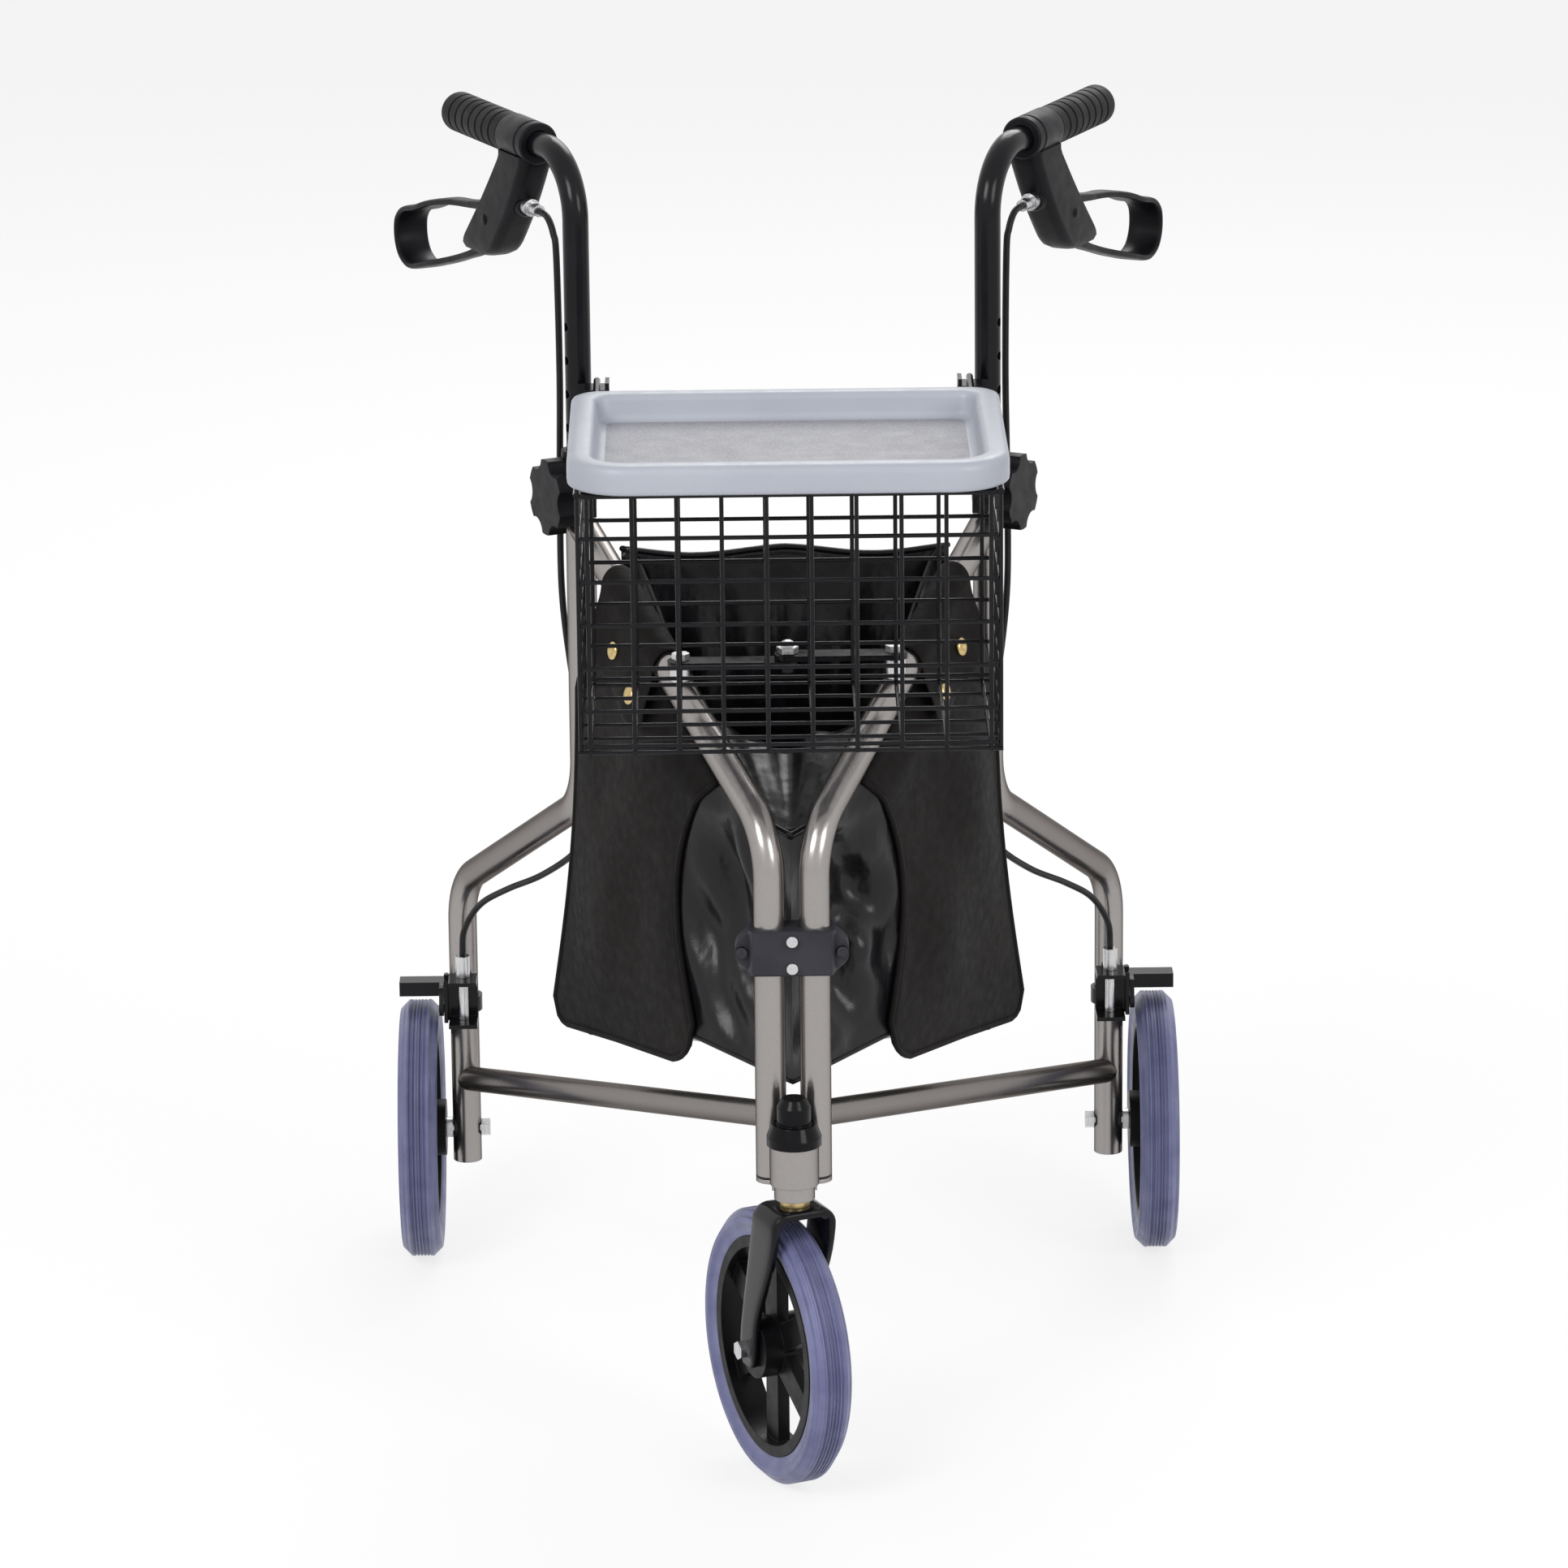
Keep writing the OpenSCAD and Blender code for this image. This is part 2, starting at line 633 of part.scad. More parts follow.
// side frame tubes
module front_tube() color("#a39c94") difference() {
    bent(front_path, bend_r, tube_d);
    bent(front_path, bend_r, tube_in, over);
    translate([post_r, 0, turn_z]) cylinder(d = tube_d + 2 * weld_gap, h = 2 * upper_rise);
    translate([pin_r, 0, pin_z - tube_d]) cylinder(d = pin_d + 2 * close_fit, h = 2 * tube_d);
}
module rear_tube() color("#a39c94") difference() {
    bent(rear_path, bend_r, tube_d);
    bent(rear_path, bend_r, tube_in, over);
    // the knob's bolt
    translate([post_r, -tube_d, knob_z]) rotate([-90, 0, 0]) cylinder(d = bolt_d + 2 * clear, h = 2 * tube_d);
    // the axle's bolt, along the machine's width
    translate([leg_r, 0, wheel_r]) rotate([0, 0, splay - 90]) translate([-tube_d, 0, 0]) rotate([0, 90, 0])
        cylinder(d = axle_d + 2 * close_fit, h = 2 * tube_d);
}
module lower_brace() color("#a39c94") difference() {
    bent(brace_path, bend_r, brace_d);
    bent(brace_path, bend_r, brace_d - 2 * tube_wall, over);
    translate([0, 0, brace_front_z - tube_d]) cylinder(d = tube_d + 2 * weld_gap, h = 2 * tube_d);
    translate([leg_r, 0, brace_rear_z - tube_d]) cylinder(d = tube_d + 2 * weld_gap, h = 2 * tube_d);
}
module pivot_bush() color("#1a1a1d") translate([0, 0, front_z]) difference() {
    union() {
        cylinder(d = tube_in - 2 * close_fit, h = pivot_bush_h);
        translate([0, 0, -bush_lip]) cylinder(d = tube_d, h = bush_lip - weld_gap);
        translate([0, 0, -weld_gap]) cylinder(d = tube_in - 2 * close_fit, h = weld_gap);
    }
    translate([0, 0, -bush_lip - over]) cylinder(d = pivot_pin_d + 2 * run_fit, h = pivot_bush_h + 3 * over);
}
module post_sleeve() color("#1a1a1d") translate([post_r, 0, post_z - sleeve_h]) difference() {
    cylinder(d = sleeve_d, h = sleeve_h + sleeve_lip_h);
    translate([0, 0, -over]) cylinder(d = tube_d + 2 * close_fit, h = sleeve_h + over + weld_gap);
    translate([0, 0, -over]) cylinder(d = handle_d + 2 * close_fit, h = sleeve_h + sleeve_lip_h + 2 * over);
}

// bracket riveted to the front of the post, with the ledge that carries the basket's arm
module basket_bracket(s) whole() hand(s) color("#1a1a1d") {
    x = arm_x - bracket_w / 2;
    near = min(x, post_x - spacer_d);
    far = max(x + bracket_w, post_x);
    ledge_z = basket_top - rim_wire_d / 2 - clear - bracket_t;
    // the strip down the post, and the plate over the knob that reaches the arm
    plate_z = knob_z + knob_d / 2 + clear;
    translate([post_x - spacer_d, bracket_y, bracket_z])
        cube([spacer_d, bracket_t, plate_z + bracket_t - bracket_z]);
    translate([near, bracket_y, plate_z]) cube([far - near, bracket_t, ledge_z + bracket_t - plate_z]);
    translate([x, bracket_y - ledge_l, ledge_z]) cube([bracket_w, ledge_l, bracket_t]);
    translate([x, bracket_y - ledge_l, ledge_z]) cube([bracket_t, ledge_l, lip_h]);
    translate([post_x - spacer_d / 2, bracket_y, rivet_z]) rotate([90, 0, 0])
        cylinder(d = rivet_d, h = bracket_t);
    difference() {
        translate([post_x - spacer_d / 2, post_y, rivet_z]) rotate([90, 0, 0])
            cylinder(d = spacer_d, h = post_y - bracket_y - bracket_t);
        translate([post_x, post_y, bracket_z - tube_d]) cylinder(d = tube_d + 2 * weld_gap, h = 3 * tube_d);
    }
}

// axle bolt of a rear wheel, with the spacer between leg and hub
module rear_axle() color("#b9bbc0") translate([0, 0, wheel_r]) {
    axle_form(-tube_r - weld_gap, wheel_offset + hub_out + clear);
    rotate([0, 90, 0]) translate([0, 0, tube_r + weld_gap])
        cylinder(d = washer_d, h = wheel_offset - hub_in - tube_r - clear);
}

// brake bracket clamped round the leg, with the arm's pivot on its outer ear
module brake_bracket() color("#17171a") difference() {
    union() {
        translate([0, 0, arm_pivot_z - band_h / 2]) cylinder(d = tube_d + 2 * band_wall, h = band_h);
        translate([-tube_r, -tube_r - weld_gap - plate_t, bracket_low])
            cube([tube_r + ear_out + plate_t, plate_t, bracket_high - bracket_low + plate_t]);
        for (z = [bracket_low, bracket_high]) translate([-tube_r, -tube_r - flange_l, z])
            cube([2 * tube_r, flange_l - weld_gap, plate_t]);
        translate([ear_out, -tube_r - plate_t - weld_gap - (tube_r + plate_t) / 2, bracket_low])
            cube([plate_t, 2 * tube_r, bracket_high - bracket_low]);
        translate([ear_out, arm_pivot_y, arm_pivot_z]) rotate([0, 90, 0])
            cylinder(d = arm_pin_d, h = plate_t + arm_plate + 2 * clear);
    }
    tall = bracket_high + plate_t - bracket_low;
    translate([0, 0, bracket_low - over]) cylinder(d = tube_d + 2 * weld_gap, h = tall + 2 * over);
    translate([0, barrel_y, bracket_low - over]) cylinder(d = core_d + 2 * close_fit, h = tall + 2 * over);
}
module cable_barrel() color("#c4c6ca") translate([0, barrel_y, 0]) {
    translate([0, 0, bracket_high + plate_t + weld_gap]) cylinder(d = barrel_d, h = barrel_h);
    translate([0, 0, bracket_low + plate_t]) cylinder(d = core_d, h = bracket_high - bracket_low + weld_gap);
    translate([0, 0, bracket_low + plate_t + weld_gap])
        cylinder(d = spring_d, h = bracket_high - bracket_low - plate_t - 2 * weld_gap);
}
module brake_arm() color("#17171a") {
    bar_z = wheel_d + bar_gap;
    x = ear_out + plate_t + clear;
    difference() {
        union() {
            across(x, arm_plate) {
                band([[arm_pivot_y, arm_pivot_z], [arm_pivot_y + arm_pin_d, bar_z + bar_t / 2]], arm_w);
                translate([arm_pivot_y, bar_z]) square([bar_l - bar_back - arm_pivot_y, bar_t]);
            }
            translate([x, -bar_back, bar_z]) cube([wheel_offset + tyre_w / 2 - x, bar_l, bar_t]);
        }
        translate([x - over, arm_pivot_y, arm_pivot_z]) rotate([0, 90, 0])
            cylinder(d = arm_pin_d + 2 * run_fit, h = arm_plate + 2 * over);
    }
}

// folding brace: two flat bars, the right one over the left one
function bar_z(s) = s < 0 ? link_z : link_z + link_t + clear;
// each bar carries its own half of the middle pivot
module brace_bar(s) whole() hand(s) color("#141416") translate([0, 0, bar_z(s)]) {
    difference() {
        linear_extrude(link_t) band([[pin_x, pin_y], [0, pin_y]], link_w);
        translate([pin_x, pin_y, -over]) cylinder(d = pin_d + 2 * run_fit, h = link_t + 2 * over);
    }
    translate([0, pin_y, s < 0 ? -pin_head_h : 0]) cylinder(d = pin_head_d, h = link_t + pin_head_h);
}
// the pin through the upper tube, with the spacer that the bar turns on
module brace_pins(s) side(s) color("#b9bbc0") translate([pin_r, 0, 0]) {
    top = bar_z(s) + link_t + clear;
    translate([0, 0, pin_z - tube_d + tube_wall]) cylinder(d = pin_d, h = top - pin_z + tube_d - tube_wall);
    translate([0, 0, top]) cylinder(d = pin_head_d, h = pin_head_h, $fn = 6);
    difference() {
        translate([0, 0, pin_z]) cylinder(d = boss_w, h = bar_z(s) - pin_z - clear);
        translate([0, 0, pin_z]) rotate([0, 90 - upper_slope, 0]) translate([0, 0, -tube_d])
            cylinder(d = tube_d + 2 * weld_gap, h = 2 * tube_d);
    }
}

// handles
module handle_tube() color("#101012") difference() {
    bent(handle_path, handle_bend_r, handle_d);
    bent(handle_path, handle_bend_r, handle_d - 2 * handle_wall, over);
    for (k = [-holes_down : holes_up])
        translate([post_r, -tube_d, knob_z + k * hole_pitch]) rotate([-90, 0, 0])
            cylinder(d = bolt_d + 2 * clear, h = 2 * tube_d);
}
module grip() color("#202023") translate([grip_start_r, 0, grip_z]) rotate([0, 90, 0]) difference() {
    union() {
        cylinder(d = grip_d, h = grip_l - grip_round);
        translate([0, 0, grip_l - grip_round]) rotate_extrude() intersection() {
            scale(grip_round) translate([1, 0]) circle(r = 1);
            square([grip_d, grip_round]);
        }
        translate([0, 0, grip_l - grip_round]) cylinder(d = grip_d / 2, h = grip_round);
    }
    translate([0, 0, -over])
        cylinder(d = handle_d + 2 * close_fit, h = grip_l - handle_cap + over + close_fit);
    pitch = (grip_l - grip_round) / (grip_ribs + 1);
    for (k = [1 : grip_ribs]) translate([0, 0, k * pitch - rib_w / 2]) difference() {
        cylinder(d = grip_d + over, h = rib_w);
        translate([0, 0, -over]) cylinder(d = grip_d - 2 * rib_h, h = rib_w + 2 * over);
    }
}

// brake body: collar round the handle, two cheeks and the lever's pivot
module brake_body() color("#17171a") {
    low = lever_z - cheek_low;
    difference() {
        union() {
            translate([collar_r, 0, grip_z]) rotate([0, 90, 0]) cylinder(d = collar_d, h = collar_l);
            stand(-cheek_w / 2, cheek_w) polygon([
                [cheek_front_r, grip_z], [collar_r + collar_l, grip_z], [collar_r + collar_l, cheek_top],
                [cheek_back_r, low], [front_at(low), low], [cheek_front_r, cheek_top]
            ]);
            translate([adjust_r, 0, adjust_z]) rotate([0, 90, 0])
                cylinder(d = adjust_seat_d, h = adjust_seat_out + 2 * cheek_t);
        }
        translate([collar_r - over, 0, grip_z]) rotate([0, 90, 0])
            cylinder(d = handle_d + 2 * close_fit, h = collar_l + 2 * over);
        // the slot that the lever swings in, open at the back and below
        stand(-cheek_gap / 2, cheek_gap) polygon([
            [front_at(low - over) + 2 * cheek_t, low - over], [cheek_back_r + over, low - over],
            [cheek_back_r + over, cheek_top - cheek_t],
            [front_at(cheek_top - cheek_t) + 2 * cheek_t, cheek_top - cheek_t]
        ]);
        translate([adjust_r - over, 0, adjust_z]) rotate([0, 90, 0])
            cylinder(d = cable_d + 2 * close_fit, h = adjust_seat_out + 2 * cheek_t + 2 * over);
    }
    translate([pivot_r, cheek_w / 2, lever_z]) rotate([90, 0, 0]) cylinder(d = pivot_d, h = cheek_w);
}
module cable_adjuster() color("#c4c6ca")
    translate([adjust_r - weld_gap, 0, adjust_z]) rotate([0, -90, 0]) {
        cylinder(d = adjust_head_d, h = adjust_head_l);
        cylinder(d = adjust_d, h = adjust_l);
    }

// loop lever: a closed band that hangs under the grip
module brake_lever() color("#17171a") {
    reach = loop_l - band_t / 2;
    at = [for (q = lever_shares) [pivot_r + q[0] * reach, lever_z + q[1] * loop_h]];
    difference() {
        union() {
            stand(-loop_w / 2, loop_w) intersection() {
                band(at, band_t);
                translate([cheek_back_r + root_d / 2, lever_z - 2 * loop_h])
                    square([loop_l + root_d, 4 * loop_h]);
            }
            stand(-root_w / 2, root_w) {
                translate([pivot_r, lever_z]) circle(d = root_d);
                band(at, band_t - 3 * band_step);
            }
        }
        translate([pivot_r, loop_w, lever_z]) rotate([90, 0, 0])
            cylinder(d = pivot_d + 2 * run_fit, h = 2 * loop_w);
    }
}

// height knob on the outer face of the post, its bolt through post and handle
module knob() color("#17171a") translate([post_r, 0, knob_z]) rotate([90, 0, 0]) {
    face = tube_r + clear;
    translate([0, 0, -face - knob_nut_h]) cylinder(d = bolt_d, h = 2 * face + knob_nut_h + neck_h);
    translate([0, 0, -face - knob_nut_h]) cylinder(d = knob_nut_d, h = knob_nut_h, $fn = 6);
    translate([0, 0, face]) cylinder(d = neck_d, h = neck_h);
    translate([0, 0, face + neck_h]) difference() {
        cylinder(d = knob_d, h = knob_t);
        for (i = [0 : knob_lobes - 1]) rotate([0, 0, i * 360 / knob_lobes])
            translate([knob_d * (1 + lobe_share) / 2, 0, -over])
                cylinder(d = knob_d * 2 * lobe_share, h = knob_t + 2 * over);
    }
}

// brake cable, one tube along its route
function pt(p, i) = p[max(0, min(len(p) - 1, i))];
function curve(p, i, t) = let (a = pt(p, i - 1), b = pt(p, i), c = pt(p, i + 1), d = pt(p, i + 2))
    (2 * b + (c - a) * t + (2 * a - 5 * b + 4 * c - d) * t * t + (3 * b - a - 3 * c + d) * t * t * t) / 2;
function route(p, n) =
    concat([for (i = [0 : len(p) - 2], k = [0 : n - 1]) curve(p, i, k / n)], [p[len(p) - 1]]);
module cord(p, d, sides) {
    n = len(p);
    ring = [for (i = [0 : n - 1]) let (v = pt(p, i + 1) - pt(p, i - 1), t = v / norm(v),
        c = cross([0, 1, 0], t), u = c / norm(c), w = cross(t, u))
        for (k = [0 : sides - 1]) p[i] + d / 2 * (u * cos(360 * k / sides) + w * sin(360 * k / sides))];
    polyhedron(ring, concat(
        [for (i = [0 : n - 2], k = [0 : sides - 1]) let (j = (k + 1) % sides) each [
            [i * sides + k, (i + 1) * sides + k, i * sides + j],
            [i * sides + j, (i + 1) * sides + k, (i + 1) * sides + j]]],
        [for (k = [1 : sides - 2]) [0, k, k + 1]],
        [for (k = [1 : sides - 2]) [(n - 1) * sides, (n - 1) * sides + k + 1, (n - 1) * sides + k]]));
}
module cable() color("#101012") cord(route(cable_pts, cable_steps), cable_d, cable_sides);

// basket of welded wire: two end walls, two side walls, a floor and the two arms at the back
function along(a, b, i, n) = a + i * (b - a) / (n - 1);
wall_end = basket_x - rim_wire_d;
level_end = side_x - wire_d / 2 - weld_gap;
rim_end = side_x - rim_wire_d / 2 - weld_gap;
wall_low = basket_z + wire_d + weld_gap;
module wall_wires(y) {
    for (i = [0 : front_wires - 1]) let (x = along(-wall_end, wall_end, i, front_wires))
        rod([x, y, wall_low], [x, y, basket_top], wire_d);
    for (k = [1 : level_wires]) let (z = basket_z + k * basket_h / (level_wires + 1))
        rod([-level_end, y, z], [level_end, y, z], wire_d);
    rod([-rim_end, y, basket_top], [rim_end, y, basket_top], rim_wire_d);
    rod([-level_end, y, wall_low + wire_d], [level_end, y, wall_low + wire_d], wire_d);
}
module basket_front() whole() color("#141416") wall_wires(basket_y0);
module basket_back() whole() color("#141416") wall_wires(basket_y1);
module basket_sides() whole() color("#141416") for (x = [-side_x, side_x]) {
    for (i = [0 : side_wires - 1]) let (y = along(basket_y0, basket_y1, i, side_wires))
        rod([x, y, wall_low], [x, y, basket_top], wire_d);
    for (k = [1 : level_wires]) let (z = basket_z + k * basket_h / (level_wires + 1))
        rod([x, basket_y0, z], [x, basket_y1, z], wire_d);
    rod([x, basket_y0 - wire_d / 2, basket_top], [x, basket_y1 + wire_d / 2, basket_top], rim_wire_d);
    rod([x, basket_y0, wall_low + wire_d], [x, basket_y1, wall_low + wire_d], wire_d);
}
module basket_floor() whole() color("#141416") {
    z = basket_z + wire_d / 2;
    x_end = side_x + wire_d / 2;
    for (i = [0 : front_wires - 1]) let (x = along(-wall_end, wall_end, i, front_wires))
        rod([x, basket_y0 - wire_d / 2, z], [x, basket_y1 + wire_d / 2, z], wire_d);
    for (i = [0 : side_wires - 1]) let (y = along(basket_y0, basket_y1, i, side_wires))
        rod([-x_end, y, z], [x_end, y, z], wire_d);
}
module basket_arms() whole() color("#141416") for (x = [-arm_x, arm_x])
    rod([x, basket_y1 + rim_wire_d / 2 + weld_gap, basket_top], [x, arm_end_y, basket_top], rim_wire_d);

// tray: a basin with a broad rim and a skirt that stands clear of it
module pad(w, l, r) {
    for (x = [-1, 1], y = [-1, 1]) translate([x * (w / 2 - r), y * (l / 2 - r)]) circle(r = r);
    square([w, l - 2 * r], center = true);
    square([w - 2 * r, l], center = true);
}
// the basin rests on the basket's front and back rims, with a skirt round it
module tray() whole() color("#b9bec8") translate([0, tray_front_y + tray_l / 2, tray_z]) difference() {
    basin_w = tray_w - 2 * tray_rim_w;
    basin_l = tray_l - 2 * tray_rim_w;
    linear_extrude(tray_h) pad(tray_w, tray_l, tray_corner);
    translate([0, 0, tray_wall]) linear_extrude(tray_h) pad(basin_w, basin_l, basin_corner);
    translate([0, 0, -over]) linear_extrude(tray_h - tray_wall + over) difference() {
        pad(tray_w - 2 * tray_wall, tray_l - 2 * tray_wall, tray_corner - tray_wall);
        pad(basin_w + 2 * tray_wall, basin_l + 2 * tray_wall, basin_corner + tray_wall);
    }
}

// bag: closed vinyl walls, open at its sloping top, with flaps over the upper tubes
function plane_x(y) = hinge_x + y * tan(splay) - bag_in / cos(splay);
module bag_low(e) hull() for (s = [-1, 1]) {
    nose = plane_x(bag_nose_y) - e;
    for (z = [bag_front_z + e, bag_mid_z]) translate([s * nose, bag_nose_y + e, z]) sphere(d = seam, $fn = 8);
    translate([s * (plane_x(bag_back) - e), bag_back - e, bag_mid_z]) sphere(d = seam, $fn = 8);
    translate([s * (bag_half - 2 * bag_drop - e), bag_back - e, knee_z - bag_drop]) sphere(d = seam, $fn = 8);
    translate([s * (bag_half - e), bag_back - e, bag_back_z + 4 * bag_drop]) sphere(d = seam, $fn = 8);
    translate([s * (bag_half - bag_drop - e), bag_back - e, bag_back_z + e]) sphere(d = seam, $fn = 8);
}
module bag_high(e, up) translate([0, 0, bag_mid_z - seam]) linear_extrude(up) polygon([
    [-plane_x(bag_nose_y) + e, bag_nose_y + e], [plane_x(bag_nose_y) - e, bag_nose_y + e],
    [plane_x(bag_back) - e, bag_back - e], [-plane_x(bag_back) + e, bag_back - e]
]);
module shopping_bag() {
    tall = upper_rise + bag_drop;
    color("#1d1d20") whole() difference() {
        union() {
            bag_low(0);
            bag_high(0, tall);
        }
        bag_low(bag_wall);
        bag_high(bag_wall, 2 * tall);
        // the slope of the open top
        translate([-bag_half, 0, turn_z - bag_drop]) rotate([atan(tan(upper_slope) / cos(splay)), 0, 0])
            cube([2 * bag_half, 2 * bag_back, 2 * tall]);
    }
    start = pin_r + pin_head_d / 2 + flap_gap;
    long = (post_r - flap_end_gap - start) / cos(upper_slope);
    ring = bag_in + bag_wall / 2;
    for (s = [-1, 1]) color("#1d1d20") side(s) translate([start, 0, turn_z + start * tan(upper_slope)])
        rotate([0, 90 - upper_slope, 0]) difference() {
            union() {
                cylinder(r = ring, h = long);
                translate([0, -ring, 0]) cube([flap_drop, bag_wall, long]);
            }
            translate([0, 0, -over]) cylinder(r = tube_r + clear, h = long + 2 * over);
        }
}

// the two hands
module left_front_tube() side(-1) front_tube();
module left_rear_tube() side(-1) rear_tube();
module left_lower_brace() side(-1) lower_brace();
module left_pivot_bush() side(-1) pivot_bush();
module left_post_sleeve() side(-1) post_sleeve();
module left_basket_bracket() basket_bracket(-1);
module left_axle() at_leg(-1) rear_axle();
module left_brake_bracket() at_leg(-1) brake_bracket();
module left_cable_barrel() at_leg(-1) cable_barrel();
module left_cable() side(-1) cable();
module left_tyre() at_leg(-1) color("#62658c") translate([wheel_offset, 0, wheel_r]) tyre_form();
module left_rim() at_leg(-1) color("#1b1b1e") translate([wheel_offset, 0, wheel_r]) rim_form(hub_in, hub_out);
module left_brake_arm() at_leg(-1) brake_arm();
module left_brace_bar() brace_bar(-1);
module left_brace_pins() brace_pins(-1);
module left_handle_tube() side(-1) handle_tube();
module left_grip() side(-1) grip();
module left_brake_body() side(-1) brake_body();
module left_cable_adjuster() side(-1) cable_adjuster();
module left_brake_lever() side(-1) brake_lever();
module left_knob() side(-1) knob();
module right_front_tube() side(1) front_tube();
module right_rear_tube() side(1) rear_tube();
module right_lower_brace() side(1) lower_brace();
module right_pivot_bush() side(1) pivot_bush();
module right_post_sleeve() side(1) post_sleeve();
module right_basket_bracket() basket_bracket(1);
module right_axle() at_leg(1) rear_axle();
module right_brake_bracket() at_leg(1) brake_bracket();
module right_cable_barrel() at_leg(1) cable_barrel();
module right_cable() side(1) cable();
module right_tyre() at_leg(1) color("#62658c") translate([wheel_offset, 0, wheel_r]) tyre_form();
module right_rim() at_leg(1) color("#1b1b1e") translate([wheel_offset, 0, wheel_r]) rim_form(hub_in, hub_out);
module right_brake_arm() at_leg(1) brake_arm();
module right_brace_bar() brace_bar(1);
module right_brace_pins() brace_pins(1);
module right_handle_tube() side(1) handle_tube();
module right_grip() side(1) grip();
module right_brake_body() side(1) brake_body();
module right_cable_adjuster() side(1) cable_adjuster();
module right_brake_lever() side(1) brake_lever();
module right_knob() side(1) knob();

head_tube();
head_bushes();
head_cap();
hinge_clamp_front();
hinge_clamp_back();
hinge_clamp_bolts();
shopping_bag();
castor_fork();
stem_washer();
front_axle();
front_tyre();
front_rim();
left_front_tube();
left_rear_tube();
left_lower_brace();
left_pivot_bush();
left_post_sleeve();
left_basket_bracket();
left_axle();
left_brake_bracket();
left_cable_barrel();
left_cable();
left_tyre();
left_rim();
left_brake_arm();
left_brace_bar();
left_brace_pins();
left_handle_tube();
left_grip();
left_brake_body();
left_cable_adjuster();
left_brake_lever();
left_knob();
right_front_tube();
right_rear_tube();
right_lower_brace();
right_pivot_bush();
right_post_sleeve();
right_basket_bracket();
right_axle();
right_brake_bracket();
right_cable_barrel();
right_cable();
right_tyre();
right_rim();
right_brake_arm();
right_brace_bar();
right_brace_pins();
right_handle_tube();
right_grip();
right_brake_body();
right_cable_adjuster();
right_brake_lever();
right_knob();
basket_front();
basket_back();
basket_sides();
basket_floor();
basket_arms();
tray();
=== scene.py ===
"""Looks of the three wheel rollator: camera, light, materials, and pieces over soft or plain solids."""

import json
import math

import bpy
import numpy as np
from mathutils import Matrix, Vector


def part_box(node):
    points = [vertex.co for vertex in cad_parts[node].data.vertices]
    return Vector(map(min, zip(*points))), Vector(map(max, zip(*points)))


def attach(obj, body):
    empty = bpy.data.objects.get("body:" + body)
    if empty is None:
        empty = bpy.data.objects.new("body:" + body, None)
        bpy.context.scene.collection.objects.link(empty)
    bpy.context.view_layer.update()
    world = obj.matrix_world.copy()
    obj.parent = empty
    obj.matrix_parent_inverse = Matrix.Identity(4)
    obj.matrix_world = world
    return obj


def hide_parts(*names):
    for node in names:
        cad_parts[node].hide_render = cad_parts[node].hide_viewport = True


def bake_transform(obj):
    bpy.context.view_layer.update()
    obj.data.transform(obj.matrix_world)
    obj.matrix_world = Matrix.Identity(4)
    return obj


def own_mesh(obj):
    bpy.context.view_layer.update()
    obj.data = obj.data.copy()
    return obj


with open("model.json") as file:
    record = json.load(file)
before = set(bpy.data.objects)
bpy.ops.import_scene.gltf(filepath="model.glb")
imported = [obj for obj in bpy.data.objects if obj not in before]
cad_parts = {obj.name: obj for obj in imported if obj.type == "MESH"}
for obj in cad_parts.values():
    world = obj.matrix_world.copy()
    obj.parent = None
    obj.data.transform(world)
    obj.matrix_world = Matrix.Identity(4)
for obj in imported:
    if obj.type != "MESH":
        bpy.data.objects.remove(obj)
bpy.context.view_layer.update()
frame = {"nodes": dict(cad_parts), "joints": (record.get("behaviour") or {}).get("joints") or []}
nodes = frame["nodes"]
joints = {j["name"]: j for j in frame["joints"]}

# lengths are in millimetres until a point is placed, in metres
MM = 0.001
UP = Vector((0, 0, 1))
HANDS = (("left", -1), ("right", 1))

# driving places, from the frame
fold_at = joints["right_fold"]["pos_m"]
knob_axis = joints["right_knob_turn"]["axis"]
SPLAY = math.atan2(abs(knob_axis[1]), abs(knob_axis[0]))
HINGE_X = fold_at[0] / MM
FRONT_Y = fold_at[1] / MM
castor_at = joints["castor_swivel"]["pos_m"]
axle_at = joints["front_wheel_spin"]["pos_m"]
CASTOR_TURN = math.atan2(axle_at[0] - castor_at[0], axle_at[1] - castor_at[1])
TRAIL = math.hypot(axle_at[0] - castor_at[0], axle_at[1] - castor_at[1]) / MM
AXLE_Z = axle_at[2] / MM
lever_at = joints["right_lever_squeeze"]["pos_m"]
LEVER_Z = lever_at[2] / MM
LEVER_R = math.hypot(lever_at[0] - fold_at[0], lever_at[1] - fold_at[1]) / MM

# upper tubes in the side frame's plane: along and up
TURN_Z = 481.0
UPPER_RISE = 157.0
POST_R = 311.0


def place(x, y, z):
    """A point in metres from millimetres, with y counted back from the front tubes."""
    return Vector((x * MM, (y + FRONT_Y) * MM, z * MM))


def side_point(hand, along, across, up):
    """A point of a side frame: along its plane from the front tube, across it inwards, and up."""
    x = HINGE_X + along * math.sin(SPLAY) - across * math.cos(SPLAY)
    y = along * math.cos(SPLAY) + across * math.sin(SPLAY)
    return place(hand * x, y, up)


def side_step(hand, along, across):
    """A step of so many millimetres in a side frame's plane and across it."""
    return side_point(hand, along, across, 0) - side_point(hand, 0, 0, 0)


def castor_point(x, y, z):
    """A point on the castor, turned with it."""
    c = math.cos(-CASTOR_TURN)
    s = math.sin(-CASTOR_TURN)
    return Vector((castor_at[0] + (c * x - s * y) * MM, castor_at[1] + (s * x + c * y) * MM, z * MM))


def upper_z(along):
    """Height of the upper tube's middle."""
    return TURN_Z + UPPER_RISE * along / POST_R


